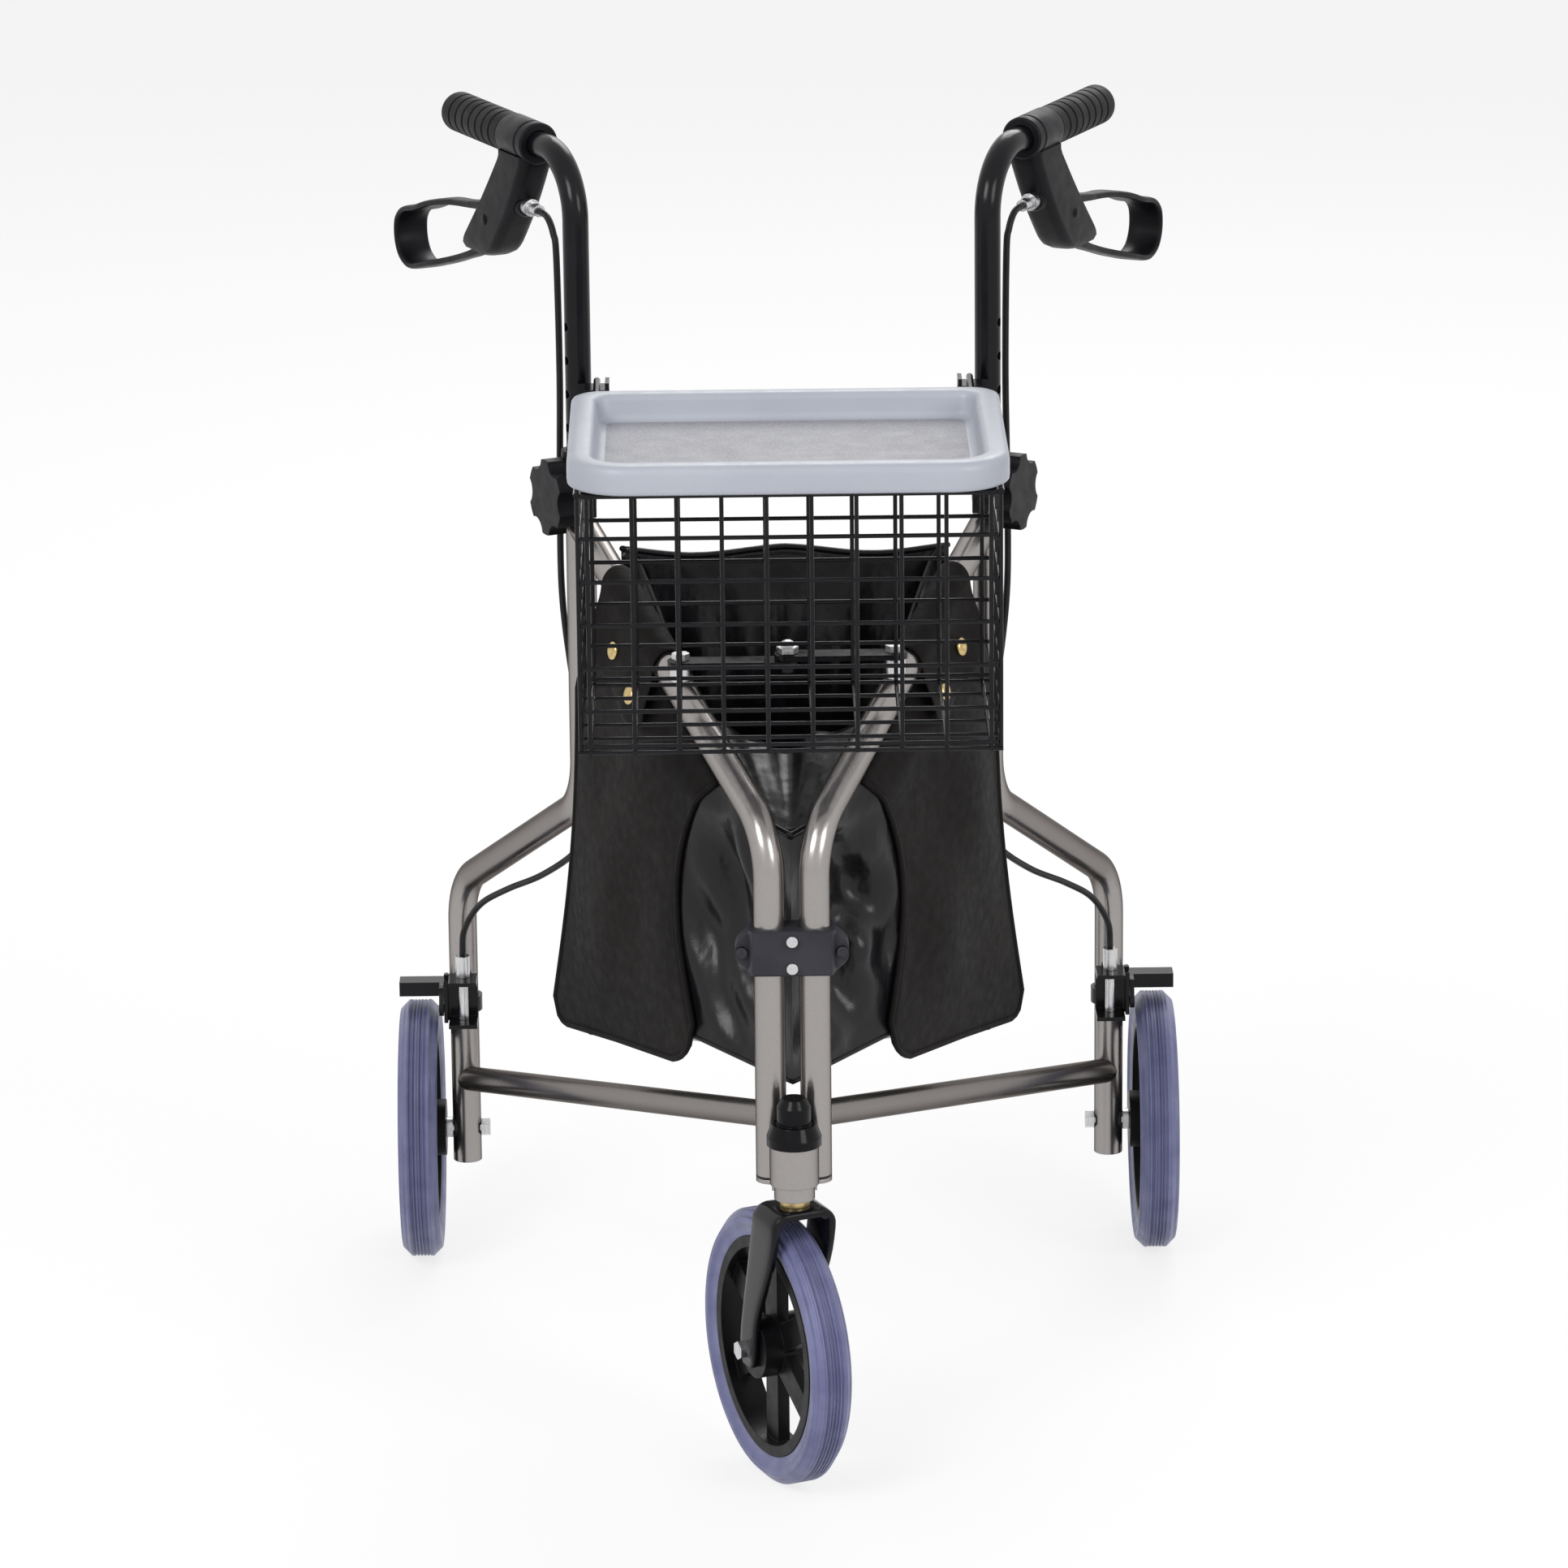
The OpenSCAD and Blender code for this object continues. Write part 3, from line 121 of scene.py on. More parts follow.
# camera: its place in metres, yaw, pitch and roll in degrees, and lens and sensor in millimetres
CAMERA_AT = (-0.0438, -5.0832, 1.9143)
CAMERA_TURNS = (0.466, 16.098, 0.560)
CAMERA_LENS = 165.5
CAMERA_SENSOR = 36.0


def make_camera():
    yaw, pitch, roll = (math.radians(turn) for turn in CAMERA_TURNS)
    ahead = Vector((math.sin(yaw) * math.cos(pitch), math.cos(yaw) * math.cos(pitch), -math.sin(pitch)))
    right = Vector((math.cos(yaw), -math.sin(yaw), 0.0))
    down = ahead.cross(right)
    right_rolled = math.cos(roll) * right + math.sin(roll) * down
    down_rolled = -math.sin(roll) * right + math.cos(roll) * down
    data = bpy.data.cameras.new("camera")
    data.sensor_width = CAMERA_SENSOR
    data.lens = CAMERA_LENS
    data.clip_end = 100.0
    camera = bpy.data.objects.new("camera", data)
    turn = Matrix((right_rolled, -down_rolled, -ahead)).transposed().to_4x4()
    camera.matrix_world = Matrix.Translation(CAMERA_AT) @ turn
    bpy.context.scene.collection.objects.link(camera)
    bpy.context.scene.camera = camera


# numbers
def ease(t):
    t = min(max(t, 0.0), 1.0)
    return t * t * (3 - 2 * t)


def mix(a, b, t):
    return a + (b - a) * t


def steps_between(t, stops):
    """A value on straight lines between pairs of place and value, in rising order."""
    return float(np.interp(t, [s[0] for s in stops], [s[1] for s in stops]))


def fold(height, turns):
    """One soft fold: a wave of that height, at a place given in turns."""
    return height * math.cos(2 * math.pi * turns)


def rounding(t):
    """How far a quarter circle falls away from its tangent, from 0 to 1."""
    return 1.0 - math.sqrt(max(0.0, 1.0 - t * t))


# mesh helpers
def new_piece(name, points, faces, smooth=True):
    mesh = bpy.data.meshes.new(name)
    mesh.from_pydata([tuple(p) for p in points], [], faces)
    mesh.validate()
    if smooth:
        mesh.polygons.foreach_set("use_smooth", [True] * len(mesh.polygons))
    piece = bpy.data.objects.new(name, mesh)
    bpy.context.scene.collection.objects.link(piece)
    return piece


def thicken(piece, thickness, offset=0.0):
    wall = piece.modifiers.new("thickness", "SOLIDIFY")
    wall.thickness = thickness * MM
    wall.offset = offset


def join_parts(parts):
    """One list of points and one of faces from several pairs."""
    points = []
    faces = []
    for part_points, part_faces in parts:
        base = len(points)
        points += list(part_points)
        faces += [tuple(base + i for i in face) for face in part_faces]
    return points, faces


def ring_faces(rings, count, looped=False, closed=True):
    """Faces between rows of points; closed rows are rings, and looped ones join up at the end."""
    faces = []
    for i in range(rings if looped else rings - 1):
        j = (i + 1) % rings
        for k in range(count if closed else count - 1):
            m = (k + 1) % count
            faces.append((i * count + k, i * count + m, j * count + m, j * count + k))
    return faces


def turned_over(faces):
    return [(a, d, c, b) for a, b, c, d in faces]


def end_caps(rings, count):
    return [tuple(reversed(range(count))), tuple((rings - 1) * count + k for k in range(count))]


def skin_faces(rings, count):
    """A closed skin over rings that run the other way round."""
    caps = [tuple(reversed(cap)) for cap in end_caps(rings, count)]
    return caps + turned_over(ring_faces(rings, count))


def square_to(axis):
    """A direction square to the axis, of any length."""
    guess = UP if abs(axis.z) < 0.9 else Vector((1, 0, 0))
    return guess - axis * guess.dot(axis)


def spline(points, steps):
    """A smooth curve through the points, with that many steps between each two."""
    p = [np.array(q, float) for q in points]
    p = [2 * p[0] - p[1]] + p + [2 * p[-1] - p[-2]]
    out = []
    for i in range(1, len(p) - 2):
        a, b, c, d = p[i - 1:i + 3]
        for k in range(steps):
            t = k / steps
            out.append((2 * b + (c - a) * t + (2 * a - 5 * b + 4 * c - d) * t ** 2
                        + (3 * b - a - 3 * c + d) * t ** 3) / 2)
    out.append(p[-2])
    return [Vector(q) for q in out]


def tube_part(points, radius, sides, looped=False):
    """A round tube along the points."""
    n = len(points)
    rings = []
    normal = None
    for i in range(n):
        before = points[i - 1] if looped or i > 0 else points[i]
        after = points[(i + 1) % n] if looped or i < n - 1 else points[i]
        tangent = (after - before).normalized()
        if normal is None:
            normal = square_to(tangent)
        normal = (normal - tangent * normal.dot(tangent)).normalized()
        other = tangent.cross(normal)
        for k in range(sides):
            a = 2 * math.pi * k / sides
            rings.append(points[i] + radius * MM * (math.cos(a) * normal + math.sin(a) * other))
    faces = ring_faces(n, sides, looped)
    return rings, faces if looped else faces + end_caps(n, sides)


def band_part(points, widths, thicks, wide_axis, sides, squareness):
    """A flat band with rounded edges along the points; its width lies along wide_axis."""
    rings = []
    n = len(points)
    for i in range(n):
        tangent = (points[min(i + 1, n - 1)] - points[max(i - 1, 0)]).normalized()
        wide = (wide_axis - tangent * wide_axis.dot(tangent)).normalized()
        thick = tangent.cross(wide)
        for k in range(sides):
            a = 2 * math.pi * (k + 0.5) / sides
            c = math.copysign(abs(math.cos(a)) ** (2 / squareness), math.cos(a))
            s = math.copysign(abs(math.sin(a)) ** (2 / squareness), math.sin(a))
            rings.append(points[i] + wide * (c * widths[i] * MM / 2) + thick * (s * thicks[i] * MM / 2))
    return rings, ring_faces(n, sides) + end_caps(n, sides)


def turned_part(profile, centre, axis, sides=24, looped=False):
    """A turned solid from pairs of radius and height along its axis, closed at both ends or into a ring."""
    axis = axis.normalized()
    u = square_to(axis).normalized()
    v = axis.cross(u)
    rings = []
    for radius, height in profile:
        for k in range(sides):
            a = 2 * math.pi * k / sides
            rings.append(centre + axis * (height * MM) + radius * MM * (math.cos(a) * u + math.sin(a) * v))
    faces = ring_faces(len(profile), sides, looped)
    return rings, faces if looped else faces + end_caps(len(profile), sides)


# material helpers, with lengths in metres
def begin(name):
    material = bpy.data.materials.new(name)
    material.use_nodes = True
    return material, material.node_tree


def finish_look(material, colour, rough, normal, values=None):
    """Joins the fields for colour, roughness and normal to the shader, and sets other values by socket."""
    tree = material.node_tree
    shader = tree.nodes["Principled BSDF"]
    for socket, field in (("Base Color", colour), ("Roughness", rough), ("Normal", normal)):
        tree.links.new(field, shader.inputs[socket])
    for socket, value in (values or {}).items():
        shader.inputs[socket].default_value = value
    return material


def add(tree, kind, inputs=None, **attributes):
    made = tree.nodes.new(kind)
    for key, value in attributes.items():
        setattr(made, key, value)
    for key, value in (inputs or {}).items():
        if isinstance(value, bpy.types.NodeSocket):
            tree.links.new(value, made.inputs[key])
        else:
            made.inputs[key].default_value = value
    return made


def here(tree):
    return add(tree, "ShaderNodeTexCoord").outputs["Object"]


def noise(tree, scale, detail=2.0, stretch=None):
    where = here(tree)
    if stretch:
        where = add(tree, "ShaderNodeMapping", {"Vector": where, "Scale": stretch}).outputs["Vector"]
    made = add(tree, "ShaderNodeTexNoise", {"Vector": where, "Scale": scale, "Detail": detail})
    return made.outputs["Fac"]


def cells(tree, scale):
    made = add(tree, "ShaderNodeTexVoronoi", {"Vector": here(tree), "Scale": scale}, feature="SMOOTH_F1")
    return made.outputs["Distance"]


def level(tree, field, low, high, start=0.3, end=0.7):
    made = add(tree, "ShaderNodeMapRange", {
        "Value": field, "From Min": start, "From Max": end, "To Min": low, "To Max": high})
    return made.outputs["Result"]


def tint(tree, field, low, high, start=0.3, end=0.7):
    made = add(tree, "ShaderNodeValToRGB", {"Fac": field})
    made.color_ramp.elements[0].position = start
    made.color_ramp.elements[0].color = (*low, 1.0)
    made.color_ramp.elements[1].position = end
    made.color_ramp.elements[1].color = (*high, 1.0)
    return made.outputs["Color"]


def bump(tree, height, distance, strength=1.0, under=None):
    inputs = {"Height": height, "Distance": distance, "Strength": strength}
    if under:
        inputs["Normal"] = under
    return add(tree, "ShaderNodeBump", inputs).outputs["Normal"]


def round_edges(tree, radius):
    return add(tree, "ShaderNodeBevel", {"Radius": radius}, samples=4).outputs["Normal"]


def calc(tree, operation, *values):
    """A field from one or two fields or numbers."""
    return add(tree, "ShaderNodeMath", dict(enumerate(values)), operation=operation).outputs["Value"]


def dot(tree, first, second):
    made = add(tree, "ShaderNodeVectorMath", {0: first, 1: second}, operation="DOT_PRODUCT")
    return made.outputs["Value"]


def blend_colours(tree, share, first, second):
    made = add(tree, "ShaderNodeMix", {"Factor": share, "A": first, "B": second}, data_type="RGBA")
    return made.outputs["Result"]


def worn(tree, rounded, colour, bare):
    """The colour, rubbed a little lighter along edges, where the rounded normal leaves the face's own."""
    own = add(tree, "ShaderNodeNewGeometry").outputs["Normal"]
    edge = level(tree, dot(tree, rounded, own), 0.5, 0.0, 0.80, 0.99)
    patchy = level(tree, noise(tree, 160.0, 3.0), 0.0, 1.0, 0.4, 0.65)
    return blend_colours(tree, calc(tree, "MULTIPLY", edge, patchy), colour, (*bare, 1.0))


# materials
ZINC = ((0.52, 0.52, 0.53), (0.68, 0.68, 0.69))
# half the width inside which the clamp's bolts are bright, and the pitch of the tyres' ribs
BRIGHT_HALF = 0.018
TREAD_PITCH = 4.2 * MM


def lacquer_champagne():
    material, tree = begin("look_champagne")
    flakes = noise(tree, 2600.0, 1.0)
    colour = tint(tree, flakes, (0.315, 0.296, 0.287), (0.395, 0.373, 0.362))
    rough = level(tree, noise(tree, 14.0, 2.0), 0.19, 0.29)
    normal = bump(tree, flakes, 0.00004, 0.5, round_edges(tree, 0.0008))
    # The dark Specular Tint is painted shade: it darkens the tubes' grazing edges, standing in for dark
    # surroundings reflected there.
    return finish_look(material, colour, rough, normal, {
        "Metallic": 0.92, "Specular Tint": (0.16, 0.145, 0.135, 1.0), "Coat Weight": 0.06,
        "Coat Roughness": 0.12})


def lacquer_black():
    material, tree = begin("look_black_metal")
    rounded = round_edges(tree, 0.0012)
    colour = tint(tree, noise(tree, 40.0, 3.0), (0.003, 0.003, 0.0045), (0.0055, 0.0055, 0.0075))
    colour = worn(tree, rounded, colour, (0.034, 0.032, 0.031))
    rough = level(tree, noise(tree, 60.0, 4.0), 0.14, 0.24)
    normal = bump(tree, noise(tree, 420.0, 2.0), 0.00006, 0.5, rounded)
    return finish_look(material, colour, rough, normal, {"Specular IOR Level": 0.21})


def moulded_black(name, low, high, roughness, grain):
    material, tree = begin(name)
    rounded = round_edges(tree, 0.0012)
    colour = worn(tree, rounded, tint(tree, noise(tree, 30.0, 3.0), low, high), (0.022, 0.022, 0.025))
    rough = level(tree, noise(tree, 90.0, 4.0), roughness - 0.06, roughness + 0.08)
    normal = bump(tree, noise(tree, grain, 2.0), 0.00012, 0.45, rounded)
    return finish_look(material, colour, rough, normal, {"Specular IOR Level": 0.13})


def zinc():
    material, tree = begin("look_steel")
    brushed = noise(tree, 900.0, 3.0, (1.0, 1.0, 0.06))
    rough = level(tree, noise(tree, 140.0, 3.0), 0.2, 0.36)
    normal = bump(tree, brushed, 0.00003, 0.4, round_edges(tree, 0.0006))
    return finish_look(material, tint(tree, brushed, *ZINC), rough, normal, {"Metallic": 1.0})


def clamp_bolts():
    """Bright bolts in the clamp's middle, and dark ones in its ears."""
    material, tree = begin("look_clamp_bolts")
    across = add(tree, "ShaderNodeSeparateXYZ", {0: here(tree)}).outputs["X"]
    ears = level(tree, calc(tree, "ABSOLUTE", across), 0.0, 1.0, BRIGHT_HALF, BRIGHT_HALF + MM)
    bright = tint(tree, noise(tree, 900.0, 3.0), *ZINC)
    dark = tint(tree, noise(tree, 600.0, 3.0), (0.035, 0.035, 0.04), (0.06, 0.06, 0.07))
    colour = blend_colours(tree, ears, bright, dark)
    rough = level(tree, noise(tree, 140.0, 3.0), 0.22, 0.36)
    normal = bump(tree, noise(tree, 700.0, 2.0), 0.00003, 0.4, round_edges(tree, 0.0006))
    return finish_look(material, colour, rough, normal, {"Metallic": 1.0})


def brass():
    material, tree = begin("look_brass")
    patina = noise(tree, 220.0, 4.0)
    colour = tint(tree, patina, (0.50, 0.36, 0.15), (0.72, 0.56, 0.28))
    rough = level(tree, patina, 0.34, 0.2)
    normal = bump(tree, noise(tree, 700.0, 2.0), 0.00003, 0.4, round_edges(tree, 0.0005))
    return finish_look(material, colour, rough, normal, {"Metallic": 1.0})


def tyre_rubber(name, axle):
    """Soft rubber with fine ribs round the tread, which lie across the axle's direction."""
    material, tree = begin(name)
    scuff = noise(tree, 55.0, 5.0)
    colour = tint(tree, scuff, (0.130, 0.137, 0.285), (0.190, 0.198, 0.375))
    rough = level(tree, scuff, 0.50, 0.36)
    turns = calc(tree, "MULTIPLY", dot(tree, here(tree), axle), 2 * math.pi / TREAD_PITCH)
    ribbed = bump(tree, calc(tree, "SINE", turns), 0.0007, 0.8, round_edges(tree, 0.0016))
    normal = bump(tree, noise(tree, 1500.0, 2.0), 0.00012, 0.4, ribbed)
    return finish_look(material, colour, rough, normal, {"Sheen Weight": 0.08})


def grip_rubber():
    material, tree = begin("look_grip")
    wear = noise(tree, 45.0, 4.0)
    colour = tint(tree, wear, (0.006, 0.006, 0.007), (0.014, 0.014, 0.016))
    rough = level(tree, wear, 0.68, 0.5)
    normal = bump(tree, cells(tree, 900.0), 0.00018, 0.5, round_edges(tree, 0.0014))
    return finish_look(material, colour, rough, normal, {"Specular IOR Level": 0.2})


def tray_plastic():
    material, tree = begin("look_tray")
    colour = tint(tree, noise(tree, 9.0, 3.0), (0.415, 0.435, 0.495), (0.465, 0.485, 0.545))
    rough = level(tree, noise(tree, 70.0, 3.0), 0.36, 0.48)
    return finish_look(material, colour, rough, bump(tree, cells(tree, 850.0), 0.00014, 0.35))


def tray_floor():
    material, tree = begin("look_tray_floor")
    pebble = cells(tree, 520.0)
    colour = tint(tree, pebble, (0.30, 0.30, 0.33), (0.37, 0.37, 0.40), 0.2, 0.6)
    rough = level(tree, noise(tree, 60.0, 3.0), 0.5, 0.62)
    return finish_look(material, colour, rough, bump(tree, pebble, 0.00035, 0.6))


def vinyl_gloss(name, crease_scale, crease_height):
    material, tree = begin(name)
    creases = noise(tree, crease_scale, 4.0, (1.0, 1.0, 0.55))
    colour = tint(tree, creases, (0.005, 0.005, 0.006), (0.011, 0.011, 0.013))
    rough = level(tree, noise(tree, 25.0, 4.0), 0.20, 0.34)
    normal = bump(tree, cells(tree, 1100.0), 0.00015, 0.4, bump(tree, creases, crease_height, 0.7))
    return finish_look(material, colour, rough, normal, {"Specular IOR Level": 0.31})


def vinyl_matte():
    material, tree = begin("look_panel")
    colour = tint(tree, noise(tree, 8.0, 3.0), (0.0062, 0.0053, 0.0051), (0.0115, 0.0098, 0.0093))
    rough = level(tree, noise(tree, 120.0, 3.0), 0.62, 0.76)
    soft = bump(tree, noise(tree, 16.0, 3.0), 0.006, 0.3)
    normal = bump(tree, cells(tree, 800.0), 0.0002, 0.5, soft)
    return finish_look(material, colour, rough, normal, {"Specular IOR Level": 0.12})


def cable_sheath():
    material, tree = begin("look_cable")
    drift = noise(tree, 80.0, 3.0)
    colour = tint(tree, drift, (0.005, 0.005, 0.006), (0.011, 0.011, 0.012))
    rough = level(tree, drift, 0.5, 0.36)
    normal = bump(tree, noise(tree, 1400.0, 1.0), 0.00005, 0.4)
    return finish_look(material, colour, rough, normal, {"Specular IOR Level": 0.25})


# moulded plastics: darkest and lightest colour, roughness and scale of the grain
MOULDED = {
    "black_plastic": ((0.004, 0.004, 0.0055), (0.008, 0.008, 0.0105), 0.42, 1300.0),
    "rim": ((0.004, 0.004, 0.005), (0.008, 0.008, 0.009), 0.36, 1000.0),
    "clamp": ((0.034, 0.034, 0.042), (0.048, 0.048, 0.058), 0.42, 1100.0),
    "cap": ((0.003, 0.003, 0.004), (0.006, 0.006, 0.0075), 0.14, 500.0),
    "bush": ((0.030, 0.030, 0.032), (0.045, 0.045, 0.048), 0.5, 900.0),
}
# solids whose look isn't that of their slot
OTHER_LOOKS = {"hinge_clamp_front": "clamp", "hinge_clamp_back": "clamp", "head_cap": "cap",
               "hinge_clamp_bolts": "clamp_bolts", "front_tyre": "castor_tyre",
               "left_basket_bracket": "black_metal", "right_basket_bracket": "black_metal"}


def make_looks():
    looks = {name: moulded_black("look_" + name, *values) for name, values in MOULDED.items()}
    looks.update({
        "champagne": lacquer_champagne(),
        "black_metal": lacquer_black(),
        "steel": zinc(),
        "brass": brass(),
        "tyre": tyre_rubber("look_tyre", joints["left_wheel_spin"]["axis"]),
        "castor_tyre": tyre_rubber("look_castor_tyre", joints["front_wheel_spin"]["axis"]),
        "grip": grip_rubber(),
        "cable": cable_sheath(),
        "tray": tray_plastic(),
        "tray_floor": tray_floor(),
        "bag": vinyl_gloss("look_vinyl", 14.0, 0.011),
        "bag_front": vinyl_gloss("look_vinyl_front", 9.0, 0.012),
        "panel": vinyl_matte(),
        "clamp_bolts": clamp_bolts(),
    })
    return looks


def dress_nodes(looks):
    """Each carried-over solid takes the look of its slot in the record, or its own."""
    for name, node in nodes.items():
        for slot in node.material_slots:
            slot.material = looks[OTHER_LOOKS.get(name, slot.material.name.split(".")[0])]


# stage and light, in metres and watts
FLOOR_HALF = 20.0
FLOOR_GLOW = 0.78
SKY = (0.45, 1.0)
LIGHT_AIM = (0, 0, 0.5)
LIGHTS = (("key", (-2.0, -3.4, 3.2), 1.8, 85.0), ("fill", (2.6, -3.0, 2.2), 1.6, 45.0),
          ("back", (0.6, 3.0, 3.0), 2.0, 50.0))


def seen_directly(tree):
    path = add(tree, "ShaderNodeLightPath").outputs
    first = calc(tree, "MAXIMUM", path["Is Camera Ray"], path["Is Glossy Ray"])
    return calc(tree, "MAXIMUM", first, path["Is Transmission Ray"])


def make_stage():
    corners = [(x * FLOOR_HALF, y * FLOOR_HALF, 0) for x, y in ((-1, -1), (1, -1), (1, 1), (-1, 1))]
    floor = new_piece("floor", corners, [(0, 1, 2, 3)], smooth=False)
    material, tree = begin("look_floor")
    shader = tree.nodes["Principled BSDF"]
    colour = tint(tree, noise(tree, 3.0, 2.0), (0.79, 0.79, 0.79), (0.81, 0.81, 0.81))
    tree.links.new(colour, shader.inputs["Base Color"])
    shader.inputs["Roughness"].default_value = 0.9
    shader.inputs["Specular IOR Level"].default_value = 0.0
    dim = add(tree, "ShaderNodeBsdfDiffuse", {"Color": (0.25, 0.25, 0.25, 1.0)})
    glow = add(tree, "ShaderNodeEmission", {"Color": (1.0, 1.0, 1.0, 1.0), "Strength": FLOOR_GLOW})
    both = add(tree, "ShaderNodeAddShader", {0: dim.outputs["BSDF"], 1: glow.outputs["Emission"]})
    pick = add(tree, "ShaderNodeMixShader", {
        0: seen_directly(tree), 1: shader.outputs["BSDF"], 2: both.outputs["Shader"]})
    tree.links.new(pick.outputs["Shader"], tree.nodes["Material Output"].inputs["Surface"])
    floor.data.materials.append(material)
    world = bpy.data.worlds.new("studio")
    bpy.context.scene.world = world
    world.use_nodes = True
    tree = world.node_tree
    sky = tree.nodes["Background"]
    sky.inputs["Color"].default_value = (1.0, 1.0, 1.0, 1.0)
    tree.links.new(level(tree, seen_directly(tree), *SKY, 0.0, 1.0), sky.inputs["Strength"])


def make_lights():
    for name, at, size, power in LIGHTS:
        data = bpy.data.lights.new(name, "AREA")
        data.shape = "SQUARE"
        data.size = size
        data.energy = power
        light = bpy.data.objects.new(name, data)
        light.location = at
        light.rotation_euler = (Vector(LIGHT_AIM) - Vector(at)).to_track_quat("-Z", "Y").to_euler()
        bpy.context.scene.collection.objects.link(light)


# brake levers: the loop as shares of its reach and drop, and its width and thickness near the pivot and far
LEVER_REACH = 171.5
LEVER_DROP = 63.0
LEVER_LOOP = (
    (0.0, 0.04), (0.14, 0.08), (0.32, 0.02), (0.5, -0.04), (0.66, -0.13), (0.8, -0.25), (0.92, -0.33),
    (0.985, -0.46), (1.0, -0.63), (0.985, -0.80), (0.94, -0.93), (0.85, -0.985), (0.7, -0.89),
    (0.52, -0.76), (0.36, -0.63), (0.22, -0.50), (0.1, -0.30), (0.0, -0.10))
LEVER_WIDTHS = (13.0, 27.0)
LEVER_THICKS = (8.0, 5.2)
# where the loop starts to widen, over what length, and over what length it thins
LEVER_WIDEN = (56.0, 80.0)
LEVER_THIN = 70.0


def make_lever(side, hand, looks):
    path = spline([side_point(hand, LEVER_R + a * LEVER_REACH, 0, LEVER_Z + b * LEVER_DROP)
                   for a, b in LEVER_LOOP], 8)
    widths = []
    thicks = []
    for p in path:
        out = math.hypot(p.x - hand * HINGE_X * MM, p.y - FRONT_Y * MM) / MM - LEVER_R
        widths.append(mix(*LEVER_WIDTHS, ease((out - LEVER_WIDEN[0]) / LEVER_WIDEN[1])))
        thicks.append(mix(*LEVER_THICKS, ease(out / LEVER_THIN)))
    inwards = side_step(hand, 0, 1).normalized()
    lever = new_piece(side + "_loop_lever", *band_part(path, widths, thicks, inwards, 20, 4.0))
    lever.data.materials.append(looks["black_plastic"])
    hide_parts(side + "_brake_lever")
    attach(lever, side + "_lever")


# brake bodies: heights of the housing, and its front and back edges at the collar and at its lower end
HANDLE_Z = 908.0
BODY_Z = (897.5, 892.5, 812.0)
BODY_FRONT = (375.7, 439.7)
BODY_BACK = (419.7, 496.7)
# half width outside and inside, corner radius in front, chamfer behind, and slices from top to bottom
BODY_HALF = 13.0
BODY_INNER = 9.0
BODY_CORNER = 8.0
BODY_CHAMFER = 1.2
BODY_SLICES = 22
# the rounded lower end: share of the height at which it starts, and how far it draws in
BODY_TIP = 0.84
BODY_DRAW_IN = 8.0
# places of the collar and of the cable's seat, and profiles of these and of the pivot pin
COLLAR_R = 373.7
SEAT_R = 395.1
SEAT_Z = 858.0
COLLAR = ((9.8, 0.0), (14.4, 0.0), (15.5, 1.4), (15.5, 8.6), (14.7, 9.6), (14.7, 11.4), (15.5, 12.4),
          (15.5, 44.4), (14.4, 46.0), (9.8, 46.0))
SEAT = ((5.6, 0.0), (7.4, 0.6), (8.5, 2.4), (8.5, 14.0))
PIVOT = ((1.0, -14.6), (3.0, -14.2), (3.9, -13.2), (3.9, 13.2), (3.0, 14.2), (1.0, 14.6))


def body_slice(z):
    """Outline of the housing at a height, in pairs along and across: round in front, open behind."""
    lean = max(0.0, (BODY_Z[1] - z) / (BODY_Z[1] - BODY_Z[2]))
    inset = BODY_DRAW_IN * rounding(max(0.0, (lean - BODY_TIP) / (1.0 - BODY_TIP)))
    front = mix(*BODY_FRONT, lean) - 4.0 * math.sin(math.pi * lean) + inset
    back = mix(*BODY_BACK, lean) - 2.0 * math.sin(math.pi * lean) - inset
    half = BODY_HALF - 0.3 * inset
    outer = [(back, half - BODY_CHAMFER), (back - BODY_CHAMFER, half)]
    for degrees in range(0, 91, 15):
        a = math.radians(degrees)
        outer.append((front + BODY_CORNER * (1 - math.sin(a)), half - BODY_CORNER * (1 - math.cos(a))))
    inner = [(front + BODY_CORNER, BODY_INNER), (back, BODY_INNER)]
    mirrored = [(a, -c) for a, c in reversed(outer)]
    return outer + mirrored + [(a, -c) for a, c in reversed(inner)] + inner


def make_brake_body(side, hand, looks):
    points = []
    for i in range(BODY_SLICES + 1):
        z = mix(BODY_Z[0], BODY_Z[2], i / BODY_SLICES)
        points += [side_point(hand, a, c, z) for a, c in body_slice(z)]
    faces = skin_faces(BODY_SLICES + 1, len(points) // (BODY_SLICES + 1))
    back = side_step(hand, 1, 0)
    inwards = side_step(hand, 0, 1)
    parts = [(points, faces),
             turned_part(COLLAR, side_point(hand, COLLAR_R, 0, HANDLE_Z), back, 40, True),
             turned_part(SEAT, side_point(hand, SEAT_R, 0, SEAT_Z), back),
             turned_part(PIVOT, side_point(hand, LEVER_R, 0, LEVER_Z), inwards)]
    body = new_piece(side + "_brake_housing", *join_parts(parts))
    body.data.set_sharp_from_angle(angle=math.radians(38))
    body.data.materials.append(looks["black_plastic"])
    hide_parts(side + "_brake_body")
    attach(body, side + "_handle")


# brake cables, held by the object from end to end
CABLE_ROUTE = (
    (374.7, 0, 858), (361, 0, 856), (351, 0, 846), (346, 0, 828), (344, 0, 740), (347, 0, 660),
    (352, 2, 580), (352, 8, 520), (346, 15, 465), (344, 19, 425), (352, 20, 395), (372, 18, 368),
    (420, 12, 338), (470, 4, 314), (506, -3, 293), (526, -8, 268), (530, -8.5, 246.4))
CABLE_R = 2.5


def make_cable(side, hand, looks):
    path = spline([side_point(hand, *p) for p in CABLE_ROUTE], 8)
    cable = new_piece(side + "_brake_cable", *tube_part(path, CABLE_R, 12))
    cable.data.materials.append(looks["cable"])
    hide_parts(side + "_cable")
    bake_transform(cable)


